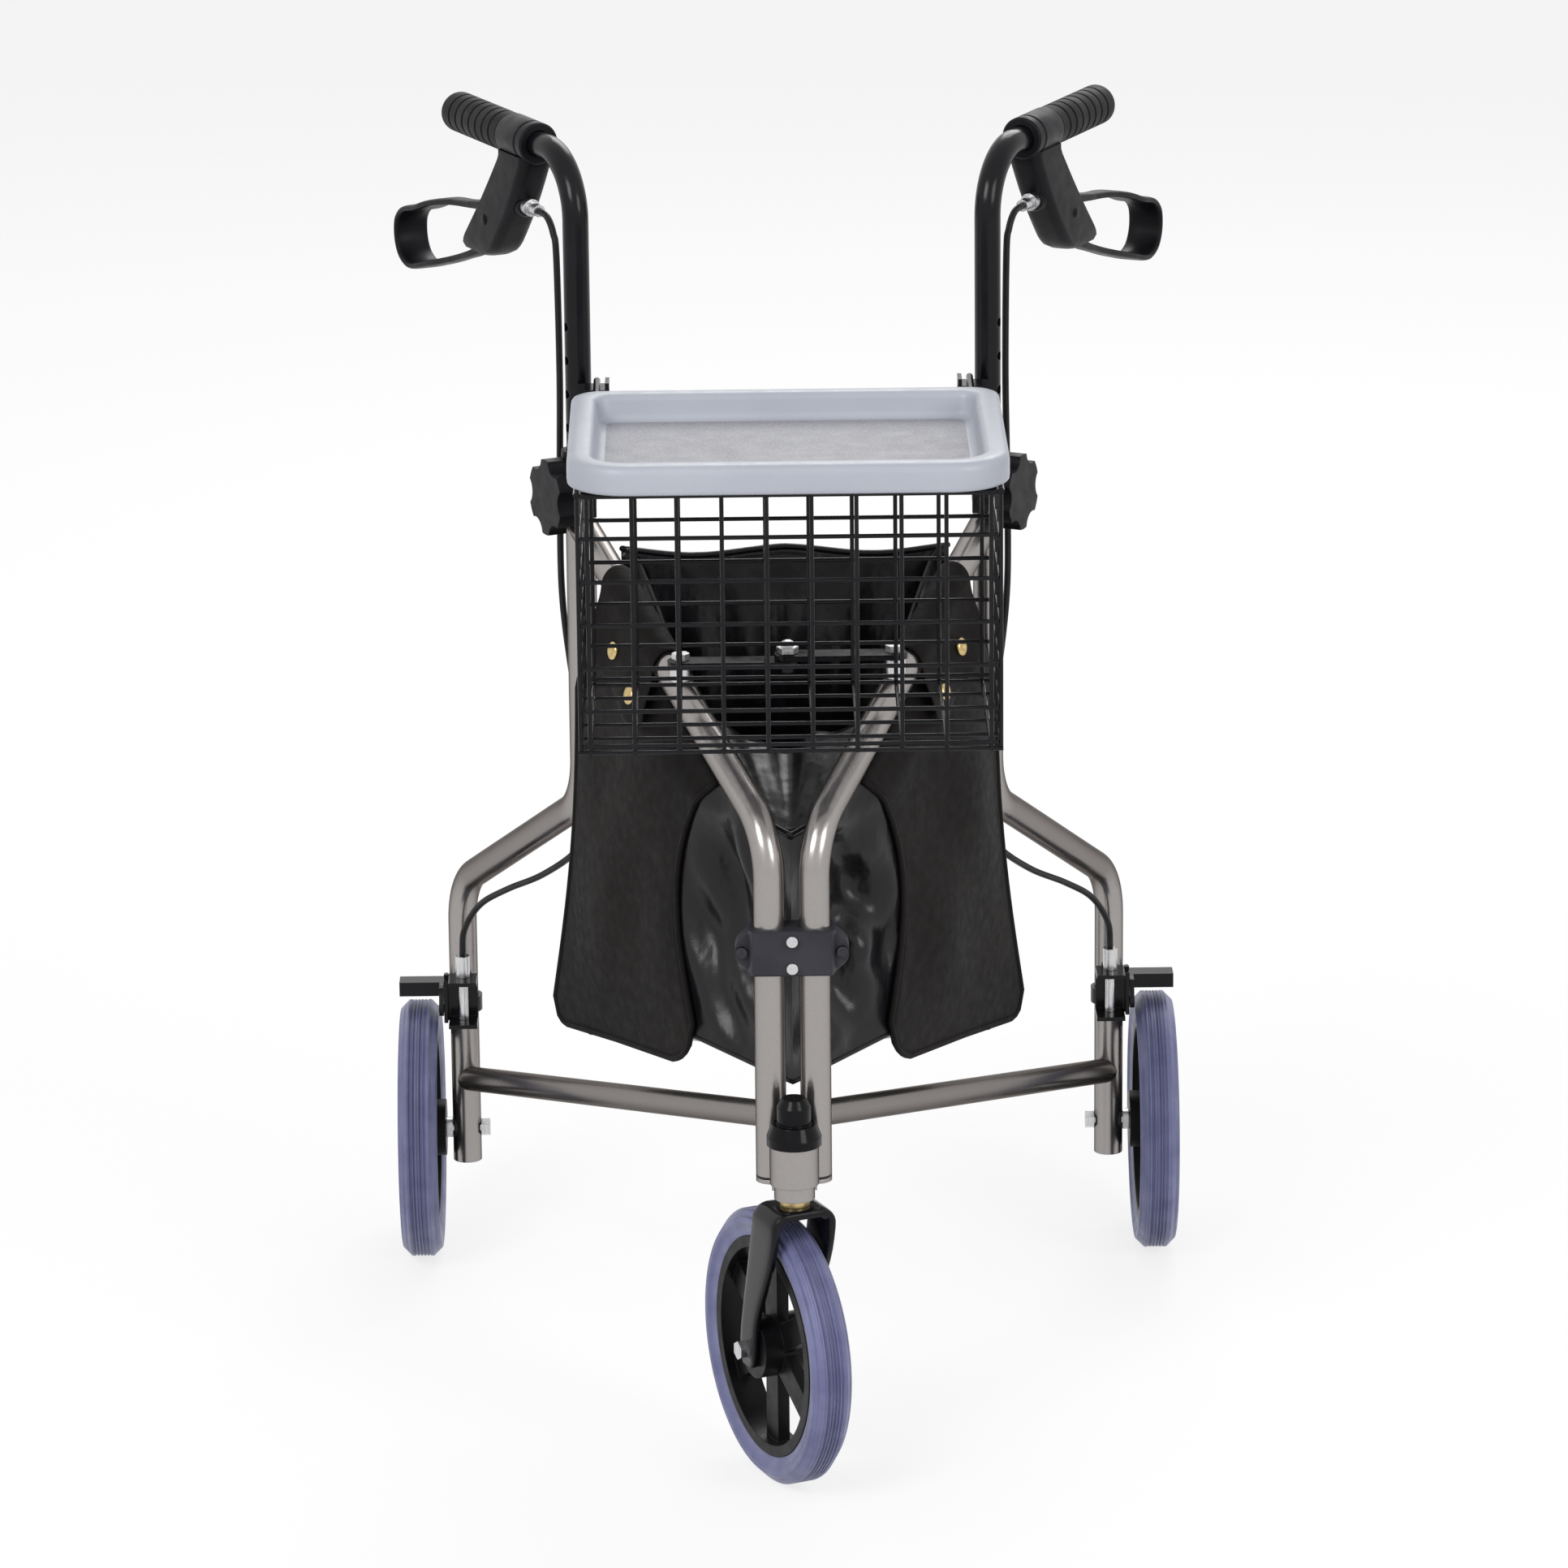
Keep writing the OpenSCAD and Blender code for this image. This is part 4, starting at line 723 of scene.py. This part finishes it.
# tray: corner radii at the back and in front, the rim's width, and the wall's thickness
TRAY_BACK_CORNER = 20.0
TRAY_FRONT_CORNER = 42.0
TRAY_RIM = 17.0
TRAY_WALL = 2.4


def rounded_ring(width, length, radii, z, middle_y, per_corner=12):
    """A ring with its own corner radius at the back and at the front."""
    ring = []
    for sx, sy, start in ((1, 1, 0), (-1, 1, 90), (-1, -1, 180), (1, -1, 270)):
        radius = radii[0] if sy > 0 else radii[1]
        for k in range(per_corner + 1):
            a = math.radians(start + 90 * k / per_corner)
            x = sx * (width / 2 - radius) + radius * math.cos(a)
            y = sy * (length / 2 - radius) + radius * math.sin(a)
            ring.append(place(x, middle_y + y, z))
    return ring


def tray_profile(base, top):
    """Inset from the outer edge, and height: up the skirt, over the rim, down the wall and onto the floor."""
    rim = TRAY_RIM
    return ((2.6, base + 2.4), (1.2, base + 0.6), (0.3, base + 1.6), (0.0, base + 4), (0.0, top - 7),
            (0.5, top - 3.6), (2.0, top - 1.4), (4.4, top - 0.3), (7.0, top), (rim - 4, top),
            (rim - 1.6, top - 0.5), (rim + 0.2, top - 2.2), (rim + 1.0, top - 5), (rim + 2.2, base + 7.5),
            (rim + 3.0, base + 5.0), (rim + 5.0, base + 3.1), (rim + 8.0, base + 2.6))


def make_tray(looks):
    low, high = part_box("tray")
    width = (high.x - low.x) / MM
    length = (high.y - low.y) / MM
    middle_y = (low.y + high.y) / 2 / MM - FRONT_Y
    rings = []
    for inset, z in tray_profile(low.z / MM, high.z / MM):
        radii = (max(TRAY_BACK_CORNER - 0.5 * inset, 8), TRAY_FRONT_CORNER - inset)
        rings.append(rounded_ring(width - 2 * inset, length - 2 * inset, radii, z, middle_y))
    count = len(rings[0])
    faces = ring_faces(len(rings), count)
    faces.append(tuple((len(rings) - 1) * count + k for k in range(count)))
    tray = new_piece("moulded_tray", [p for ring in rings for p in ring], faces)
    tray.data.materials.append(looks["tray"])
    tray.data.materials.append(looks["tray_floor"])
    inside = tray.data.polygons[-1]
    inside.material_index = 1
    inside.use_smooth = False
    thicken(tray, TRAY_WALL, -1.0)
    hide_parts("tray")
    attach(tray, "tray")


# bag: its nose and back, how far inside the tubes it hangs, and how far below them its mouth lies
BAG_NOSE_Y = 20.0
BAG_BACK_Y = 262.0
BAG_IN = 14.3
BAG_MOUTH_DROP = 4.0
# heights of its bottom at the nose and back, half widths of its back by height, and the most beyond the tubes
BAG_BOTTOM = (292.0, 252.0)
BAG_BACK_HALF = ((240.0, 160.0), (262.0, 168.0), (290.0, 170.0), (400.0, 156.0), (440.0, 142.0),
                 (490.0, 126.0), (640.0, 125.0))
BAG_CORNER_OUT = 24.0
# height above which the back's corners draw in to the tubes, and over what height
BAG_DRAW_IN = (440.0, 50.0)
BAG_ROWS = 44
BAG_NOSE_COLS = 26
BAG_SIDE_COLS = 20
BAG_BACK_COLS = 24
BAG_FLOOR_COLS = 8
BAG_FLOOR_SAG = 12.0
VINYL = 1.2
# rolled edges of the mouth and of the bottom
MOUTH_R = 2.2
BOTTOM_R = 1.8
# side panels: ends of the top and bottom edges, where the top leaves the tube, how far under the tube it lies,
# the height where it ends, and how far inside is the bag's wall
PANEL_TOP = (70.0, 286.0)
PANEL_LOW = (96.0, 337.0)
PANEL_STEP_R = 255.0
PANEL_UNDER = 13.0
PANEL_BACK_Z = 561.0
PANEL_INSIDE = 2.5
# heights of the bottom edge, its corners, the bow of the front and back edges, and how far out it lies
PANEL_LOW_Z = ((0.0, 297.0), (0.13, 281.0), (0.55, 267.0), (1.0, 250.0))
PANEL_CORNER_SHARE = 0.09
PANEL_CORNER = 20.0
PANEL_BOW = (37.0, -14.0)
PANEL_OUT = (6.0, 15.5)
PANEL_COLS = 36
PANEL_ROWS = 40
PANEL_THICK = 1.6
PANEL_EDGE_R = 2.3
# the sag: steps it runs for, the most a point may move, the most outwards or forwards, and the vinyl's values
SAG_FRAMES = 32
SAG_CAP = 20 * MM
SAG_OUT = 6 * MM
SAG_VINYL = {"quality": 6, "mass": 0.35, "tension_stiffness": 18.0, "compression_stiffness": 18.0,
             "shear_stiffness": 6.0, "bending_stiffness": 0.6, "shrink_min": -0.07}


def panel_point(hand, s, v, inwards=0.0):
    """A point of a side panel outside the tubes: s runs from its front to its back edge, v downwards."""
    top_r = mix(*PANEL_TOP, s)
    past = max(0.0, top_r - PANEL_STEP_R)
    drop = (upper_z(PANEL_STEP_R) - PANEL_BACK_Z) * past / (PANEL_TOP[1] - PANEL_STEP_R)
    top_z = upper_z(min(top_r, PANEL_STEP_R)) - PANEL_UNDER - drop
    low_z = steps_between(s, PANEL_LOW_Z)
    corner = max(0.0, 1.0 - s / PANEL_CORNER_SHARE, 1.0 - (1.0 - s) / PANEL_CORNER_SHARE)
    low_z += PANEL_CORNER * rounding(corner)
    along = mix(top_r, mix(*PANEL_LOW, s), v)
    along += mix(PANEL_BOW[0] * math.sin(math.pi * v ** 0.9), PANEL_BOW[1] * math.sin(math.pi * v), s)
    belly = math.sin(math.pi * s) * math.sin(math.pi * v) ** 1.1
    folds = 7.5 + fold(3.0, 0.8 * s + 0.7 * v + 0.2 * hand)
    folds += fold(2.2, 1.6 * s - 1.1 * v + 0.3 * hand)
    out = mix(*PANEL_OUT, ease(v / 0.1)) + belly * folds
    return side_point(hand, along, inwards - out, mix(top_z, low_z, v))


def bag_corner(hand, v):
    """The bag's back corner, inside the post and wider below it."""
    inside = HINGE_X + BAG_BACK_Y * math.tan(SPLAY) - BAG_IN / math.cos(SPLAY)
    top = upper_z(BAG_BACK_Y / math.cos(SPLAY)) - BAG_MOUTH_DROP
    z = mix(top, BAG_BOTTOM[1], v)
    wide = min(steps_between(z, BAG_BACK_HALF), inside + BAG_CORNER_OUT)
    x = mix(wide, inside, ease((z - BAG_DRAW_IN[0]) / BAG_DRAW_IN[1]))
    return place(hand * x, BAG_BACK_Y, z)


def nose_point(hand, u, v, edge):
    """A point of the slack nose between its middle (0) and the panel's front edge (1)."""
    nose = place(0.0, BAG_NOSE_Y, mix(TURN_Z - 6.0, BAG_BOTTOM[0], v))
    p = nose.lerp(edge, u)
    p.z -= 5.0 * MM * math.sin(math.pi * u) * (1.0 - v)
    slack = math.sin(math.pi * min(v * 1.02, 1.0)) ** 0.8 * math.sin(math.pi * u)
    folds = 11.0 + fold(8.5, 1.1 * u + 0.9 * v + 0.12 * hand)
    folds += fold(7.5, 2.0 * u - 1.7 * v * hand + 0.3)
    folds += fold(4.0, 0.7 * u + 3.1 * v + 0.25 * hand)
    deep = slack * folds * MM
    p.x -= hand * deep * 0.6
    p.y += deep
    return p


def wall_point(hand, u, v, edge, corner):
    """A point of the side wall between the panel's front edge (0) and the back corner (1), below the tube."""
    p = edge.lerp(corner, u)
    tube_z = upper_z(math.hypot(p.x / MM - hand * HINGE_X, p.y / MM - FRONT_Y))
    room = mix(PANEL_UNDER + 5.0, 4.0, ease((u - 0.5) / 0.5))
    p.z -= max(0.0, p.z / MM - tube_z + room) * MM
    return p + side_step(hand, 0, ease(u / 0.5) * (1.0 - ease(v / 0.25)) * BAG_IN)


def back_point(hand, u, v, corner):
    """A point of the back between the corner (0) and its middle (1)."""
    p = corner.lerp(place(0.0, BAG_BACK_Y, corner.z / MM), u)
    p.z -= 6.0 * MM * math.sin(math.pi * u) * math.sin(2.3 * u + 0.6) * (1.0 - v)
    belly = math.sin(math.pi * u / 2.0) * math.sin(math.pi * v)
    folds = 9.0 + fold(5.0, 1.2 * u + 1.1 * v)
    folds += fold(3.5, 3.1 * u - 1.4 * v + 0.2 * hand)
    p.y -= belly * folds * MM
    return p


def bag_point(hand, u, v):
    """A point of the bag: u from nose (0) by panel edge (1) and corner (2) to the back (3), v downwards."""
    edge = panel_point(hand, 0.01, v, PANEL_INSIDE)
    if u <= 1.0:
        return nose_point(hand, u, v, edge)
    corner = bag_corner(hand, v)
    if u <= 2.0:
        return wall_point(hand, u - 1.0, v, edge, corner)
    return back_point(hand, u - 2.0, v, corner)


def bag_columns():
    columns = [k / BAG_NOSE_COLS for k in range(BAG_NOSE_COLS)]
    columns += [1.0 + k / BAG_SIDE_COLS for k in range(BAG_SIDE_COLS)]
    columns += [2.0 + k / BAG_BACK_COLS for k in range(BAG_BACK_COLS + 1)]
    return columns


def make_bag(looks):
    columns = bag_columns()
    half = len(columns)
    around = [(1, u) for u in columns] + [(-1, u) for u in columns[-2:0:-1]]
    count = len(around)
    points = [bag_point(hand, u, j / BAG_ROWS) for j in range(BAG_ROWS + 1) for hand, u in around]
    faces = ring_faces(BAG_ROWS + 1, count)
    # the floor: rows across between the two halves, sagging in its middle
    base = BAG_ROWS * count
    rows = []
    for i in range(half):
        if i in (0, half - 1):
            rows.append([base + i] * (BAG_FLOOR_COLS + 1))
            continue
        right = points[base + i]
        left = points[base + count - i]
        share = math.sin(math.pi * min(columns[i] / 2.0, 1.0))
        row = [base + i]
        for s in range(1, BAG_FLOOR_COLS):
            t = s / BAG_FLOOR_COLS
            p = right.lerp(left, t)
            p.z -= BAG_FLOOR_SAG * MM * math.sin(math.pi * t) * share
            row.append(len(points))
            points.append(p)
        row.append(base + count - i)
        rows.append(row)
    for near, far in zip(rows, rows[1:]):
        for s in range(BAG_FLOOR_COLS):
            face = tuple(dict.fromkeys((near[s], near[s + 1], far[s + 1], far[s])))
            if len(face) > 2:
                faces.append(face)
    bag = new_piece("bag_shell", points, faces)
    bag.data.materials.append(looks["bag"])
    return bag


def bag_hold(u, v):
    """How firmly the sewn edges hold a point while the vinyl sags, from 0 to 1."""
    seam = max(0.0, 1.0 - abs(u - 1.0) / 0.05, 1.0 - abs(u - 2.0) / 0.06)
    mouth = max(0.0, 1.0 - v / 0.03)
    nose = max(0.0, 1.0 - u / 0.08)
    wall = 1.0 if 1.0 <= u <= 2.0 else 0.0
    return min(1.0, max(seam, mouth, nose, wall))


def sag_bag(bag):
    """Lets the vinyl hang slack from its sewn edges, then keeps each point near where it was cut."""
    columns = bag_columns()
    around = columns + columns[-2:0:-1]
    held = bag.vertex_groups.new(name="held")
    for j in range(BAG_ROWS + 1):
        for k, u in enumerate(around):
            held.add([j * len(around) + k], bag_hold(u, j / BAG_ROWS), "REPLACE")
    cut = [v.co.copy() for v in bag.data.vertices]
    cloth = bag.modifiers.new("slack", "CLOTH")
    for key, value in SAG_VINYL.items():
        setattr(cloth.settings, key, value)
    cloth.settings.vertex_group_mass = held.name
    cloth.collision_settings.use_collision = False
    cloth.point_cache.frame_start = 1
    cloth.point_cache.frame_end = SAG_FRAMES
    for step in range(1, SAG_FRAMES + 1):
        bpy.context.scene.frame_set(step)
    graph = bpy.context.evaluated_depsgraph_get()
    hung = bag.evaluated_get(graph).to_mesh()
    moved = [v.co.copy() for v in hung.vertices]
    bag.evaluated_get(graph).to_mesh_clear()
    bag.modifiers.remove(cloth)
    bpy.context.scene.frame_set(1)
    for vertex, start, end in zip(bag.data.vertices, cut, moved):
        shift = end - start
        far = shift.length
        if far > 0.0:
            shift *= SAG_CAP * math.tanh(far / SAG_CAP) / far
        outward = math.copysign(1.0, start.x)
        shift.x = outward * min(outward * shift.x, SAG_OUT)
        shift.y = max(shift.y, -SAG_OUT)
        vertex.co = start + shift
    bag.data.update()


def crumple(piece):
    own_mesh(piece)


def finish_bag(bag):
    """Sharp edges and thickness, then the bag rides on the spine."""
    bag.data.set_sharp_from_angle(angle=math.radians(55))
    thicken(bag, VINYL)
    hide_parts("shopping_bag")
    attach(bag, "spine")
    crumple(bag)


def make_piping(bag, looks):
    """The rolled edges of the bag's mouth and of its bottom."""
    count = 2 * len(bag_columns()) - 2
    parts = []
    for row, radius in ((0, MOUTH_R), (BAG_ROWS, BOTTOM_R)):
        loop = [bag.data.vertices[row * count + k].co.copy() for k in range(count)]
        parts.append(tube_part(loop, radius, 8, looped=True))
    piping = new_piece("bag_piping", *join_parts(parts))
    piping.data.materials.append(looks["bag"])
    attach(piping, "spine")
    crumple(piping)


# front of the bag between the upper tubes: its ends along them, and how far below them its sides are sewn
FRONT_ALONG = (24.0, 132.0)
FRONT_UNDER = 15.0
FRONT_ROWS = 22
FRONT_COLS = 24


def make_bag_front(looks):
    """The front of the bag, hung from both upper tubes, deeper and more folded further back."""
    points = []
    for j in range(FRONT_ROWS + 1):
        t = j / FRONT_ROWS
        along = mix(*FRONT_ALONG, t)
        inner = side_point(1, along, BAG_IN, upper_z(along) - FRONT_UNDER)
        for k in range(FRONT_COLS + 1):
            s = 2.0 * k / FRONT_COLS - 1.0
            folds = 4.0 + 16.0 * t + 5.0 * t * math.cos(5.0 * s + 0.8) + 3.0 * t * math.cos(11.0 * s)
            points.append(Vector((inner.x * s, inner.y, inner.z - (1.0 - s * s) * folds * MM)))
    sheet = new_piece("bag_front", points, ring_faces(FRONT_ROWS + 1, FRONT_COLS + 1, closed=False))
    sheet.data.materials.append(looks["bag_front"])
    thicken(sheet, VINYL)
    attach(sheet, "spine")
    crumple(sheet)


def make_panel(side, hand, looks):
    """The matte side panel outside the tubes, with its rolled edge."""
    points = [panel_point(hand, k / PANEL_COLS, j / PANEL_ROWS)
              for j in range(PANEL_ROWS + 1) for k in range(PANEL_COLS + 1)]
    panel = new_piece(side + "_bag_panel", points, ring_faces(PANEL_ROWS + 1, PANEL_COLS + 1, closed=False))
    panel.data.materials.append(looks["panel"])
    thicken(panel, PANEL_THICK)
    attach(panel, side + "_frame")
    edge = [panel_point(hand, 0.0, j / PANEL_ROWS) for j in range(PANEL_ROWS + 1)]
    edge += [panel_point(hand, k / PANEL_COLS, 1.0) for k in range(1, PANEL_COLS)]
    edge += [panel_point(hand, 1.0, 1.0 - j / PANEL_ROWS) for j in range(PANEL_ROWS + 1)]
    hem = new_piece(side + "_panel_edge", *tube_part(edge, PANEL_EDGE_R, 8))
    hem.data.materials.append(looks["panel"])
    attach(hem, side + "_frame")


# flaps: their ends along the upper tubes, and the section in pairs across and up, from inside over the tube
FLAP_ALONG = (160.0, 247.0)
FLAP_COLS = 24
FLAP_R = 13.6
FLAP_INNER = [(14.0, -34.0), (13.8, -18.0), (13.4, -4.0)]
FLAP_OVER = [(FLAP_R * math.cos(math.radians(a)), FLAP_R * math.sin(math.radians(a)) * 1.1)
             for a in range(15, 180, 15)]
FLAP_OUTER = [(-FLAP_R, -4.0), (-15.2, -16.0), (-18.4, -28.0), (-20.4, -40.0), (-21.0, -52.0)]
# drop from which the outer side waves, the length below it, the wave's height, and the vinyl's thickness
FLAP_STILL = 4.0
FLAP_HANG = 48.0
FLAP_WAVE = 2.5
FLAP_THICK = 1.4
# snaps: places along and down, how far they stand off, how much they tip up, and their profile
SNAPS = ((181.0, 31.0), (217.0, 25.0))
SNAP_OFF = 0.9
SNAP_TIP = 0.2
SNAP = ((6.6, -1.6), (7.0, 0.2), (6.4, 1.4), (4.6, 2.0), (2.8, 1.4), (2.2, 0.4))


def flap_across(hand, t, rest, drop):
    """Where the flap's outer side lies across the tube; its wave grows downwards."""
    hang = max(0.0, drop - FLAP_STILL) / FLAP_HANG
    wave = math.sin(2 * math.pi * (1.3 * t + 0.1 * hand))
    return rest - hang * (FLAP_WAVE + FLAP_WAVE * wave)


def make_flap(side, hand, looks):
    """The panel's upper edge, folded over the upper tube and hanging down outside it."""
    section = FLAP_INNER + FLAP_OVER + FLAP_OUTER
    points = []
    for i in range(FLAP_COLS + 1):
        t = i / FLAP_COLS
        along = mix(*FLAP_ALONG, t)
        shorter = 1.0 - 0.28 * (abs(2 * t - 1) ** 5)
        for a, dz in section:
            across = flap_across(hand, t, a, -dz) if a < 0 else a
            z = upper_z(along) + (dz * shorter if a < 0 and dz < 0 else dz)
            points.append(side_point(hand, along, across, z))
    faces = turned_over(ring_faces(FLAP_COLS + 1, len(section), closed=False))
    flap = new_piece(side + "_bag_flap", points, faces)
    flap.data.materials.append(looks["panel"])
    thicken(flap, FLAP_THICK)
    soft = flap.modifiers.new("soft", "SUBSURF")
    soft.levels = soft.render_levels = 1
    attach(flap, side + "_frame")
    out = side_step(hand, 0, -1) + SNAP_TIP * MM * UP
    snaps = []
    for along, drop in SNAPS:
        t = (along - FLAP_ALONG[0]) / (FLAP_ALONG[1] - FLAP_ALONG[0])
        rest = steps_between(drop, [(-dz, a) for a, dz in FLAP_OUTER])
        across = flap_across(hand, t, rest, drop) - SNAP_OFF
        snaps.append(turned_part(SNAP, side_point(hand, along, across, upper_z(along) - drop), out))
    studs = new_piece(side + "_bag_snaps", *join_parts(snaps))
    studs.data.materials.append(looks["brass"])
    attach(studs, side + "_frame")


# middle bolt of the folding brace: a hexagon with a dome
NUT = ((7.6, -5.0), (8.0, -4.4), (8.0, -0.4), (7.4, 0.4), (5.0, 0.6))
NUT_DOME = ((5.0, 0.4), (4.9, 2.0), (4.2, 3.6), (2.6, 4.6), (0.8, 5.0))


def make_brace_nut(looks):
    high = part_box("right_brace_bar")[1]
    hinge = joints["right_brace_hinge"]["pos_m"]
    centre = Vector((0.0, hinge[1], high.z))
    parts = [turned_part(NUT, centre, UP, 6), turned_part(NUT_DOME, centre, UP)]
    nut = new_piece("brace_nut", *join_parts(parts), smooth=False)
    nut.data.materials.append(looks["steel"])
    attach(nut, "right_brace")


# hinge clamp: height of its middle, bores, depth at the tubes and ears, and where the ears start and level out
CLAMP_Z = 398.0
CLAMP_BORE = 11.05
CLAMP_DEPTHS = (15.0, 7.5)
CLAMP_EAR = (28.0, 31.2)
CLAMP_SPLIT = 0.2
CLAMP_CHAMFER = 1.4
# half heights of the clamp out to the tips of its ears
CLAMP_TIP = ((27.5, 16.5), (30.0, 15.6), (32.0, 13.9), (34.5, 11.8), (37.0, 9.6), (38.8, 7.4),
             (39.7, 5.0), (40.0, 2.6))


def clamp_places():
    """Places across the clamp, closer together at the bores' edges and in the ears."""
    half = [0.0, 2.4] + [HINGE_X - CLAMP_BORE * math.cos(math.radians(10 * k)) for k in range(19)]
    half += [x for x, _ in CLAMP_TIP] + [29.0, CLAMP_EAR[1]]
    half = sorted(set(half))
    return [-x for x in reversed(half[1:])] + half


def make_clamp(name, node, back, looks):
    """One half of the clamp: the front one with back at minus one, the back one at plus one."""
    edge = CLAMP_CHAMFER
    points = []
    for x in clamp_places():
        off = abs(x)
        half = steps_between(off, CLAMP_TIP)
        deep = mix(*CLAMP_DEPTHS, ease((off - CLAMP_EAR[0]) / (CLAMP_EAR[1] - CLAMP_EAR[0])))
        near = max(CLAMP_SPLIT, math.sqrt(max(0.0, CLAMP_BORE ** 2 - (off - HINGE_X) ** 2)))
        ring = ((near, -half), (deep - edge, -half), (deep, edge - half), (deep, half - edge),
                (deep - edge, half), (near, half))
        points += [place(x, back * y, CLAMP_Z + z) for y, z in ring]
    faces = skin_faces(len(points) // len(ring), len(ring))
    if back > 0:
        faces = [tuple(reversed(face)) for face in faces]
    jaw = new_piece(name, points, faces)
    jaw.data.set_sharp_from_angle(angle=math.radians(28))
    jaw.data.materials.append(looks["clamp"])
    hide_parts(node)
    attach(jaw, "spine")


# castor fork: height of the crown's top, middle of the crown and of an arm, and the bend between them
FORK_TOP = 216.0
FORK_CROWN_Z = FORK_TOP - 3.5
FORK_ARM_X = 21.8
FORK_BEND = 9.0
# how far the arms go below the axle, the boss's width and height, and widths and thicknesses from axle to crown
FORK_BELOW = 12.0
FORK_BOSS = (2.0, 30.0)
FORK_WIDTHS = (22.0, 37.0)
FORK_THICKS = (5.6, 7.0)
# points of an arm, of a bend and of half the crown
FORK_ARM_STEPS = 14
FORK_BEND_STEPS = 6
FORK_CROWN_STEPS = 4
FORK_STEM = ((7.0, -6.0), (7.0, 40.0))


def fork_course():
    """The fork's middle line, up one arm, over the crown and down the other arm."""
    shoulder = FORK_CROWN_Z - FORK_BEND
    course = []
    for k in range(FORK_ARM_STEPS + 1):
        z = mix(AXLE_Z - FORK_BELOW, shoulder, k / FORK_ARM_STEPS)
        lean = TRAIL * (1.0 - ease((z - AXLE_Z) / (shoulder - AXLE_Z + 14.0)))
        course.append((-FORK_ARM_X, lean, z))
    for k in range(1, FORK_BEND_STEPS + 1):
        a = math.radians(90 * k / FORK_BEND_STEPS)
        course.append((-FORK_ARM_X + FORK_BEND * (1 - math.cos(a)), lean * (1 - k / FORK_BEND_STEPS),
                       shoulder + FORK_BEND * math.sin(a)))
    for k in range(1, FORK_CROWN_STEPS + 1):
        course.append((mix(-FORK_ARM_X + FORK_BEND, 0.0, k / FORK_CROWN_STEPS), 0.0, FORK_CROWN_Z))
    return course + [(-x, y, z) for x, y, z in reversed(course[:-1])]


def make_fork(looks):
    course = fork_course()
    widths = []
    thicks = []
    for _, _, z in course:
        boss = FORK_BOSS[0] * ease((AXLE_Z + FORK_BOSS[1] - z) / FORK_BOSS[1])
        share = ease((z - AXLE_Z - 4.0) / (FORK_CROWN_Z - AXLE_Z - 20.0))
        tip = 1.0 - 0.35 * ease((AXLE_Z - z) / FORK_BELOW)
        widths.append((mix(*FORK_WIDTHS, share ** 1.5) + boss) * tip)
        thicks.append(mix(*FORK_THICKS, share))
    axis = castor_point(0, 1, 0) - castor_point(0, 0, 0)
    band = band_part([castor_point(*p) for p in course], widths, thicks, axis.normalized(), 24, 5.0)
    stem = turned_part(FORK_STEM, castor_point(0, 0, FORK_TOP), UP)
    fork = new_piece("curved_fork", *join_parts([band, stem]))
    fork.data.materials.append(looks["black_metal"])
    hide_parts("castor_fork")
    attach(fork, "fork")


def main():
    make_camera()
    looks = make_looks()
    dress_nodes(looks)
    make_stage()
    make_lights()
    for side, hand in HANDS:
        make_brake_body(side, hand, looks)
        make_lever(side, hand, looks)
        make_cable(side, hand, looks)
        make_panel(side, hand, looks)
        make_flap(side, hand, looks)
    make_tray(looks)
    make_fork(looks)
    make_clamp("front_clamp_jaw", "hinge_clamp_front", -1, looks)
    make_clamp("back_clamp_jaw", "hinge_clamp_back", 1, looks)
    make_brace_nut(looks)
    bag = make_bag(looks)
    sag_bag(bag)
    finish_bag(bag)
    make_piping(bag, looks)
    make_bag_front(looks)
    bpy.context.scene.view_settings.view_transform = "Standard"


main()
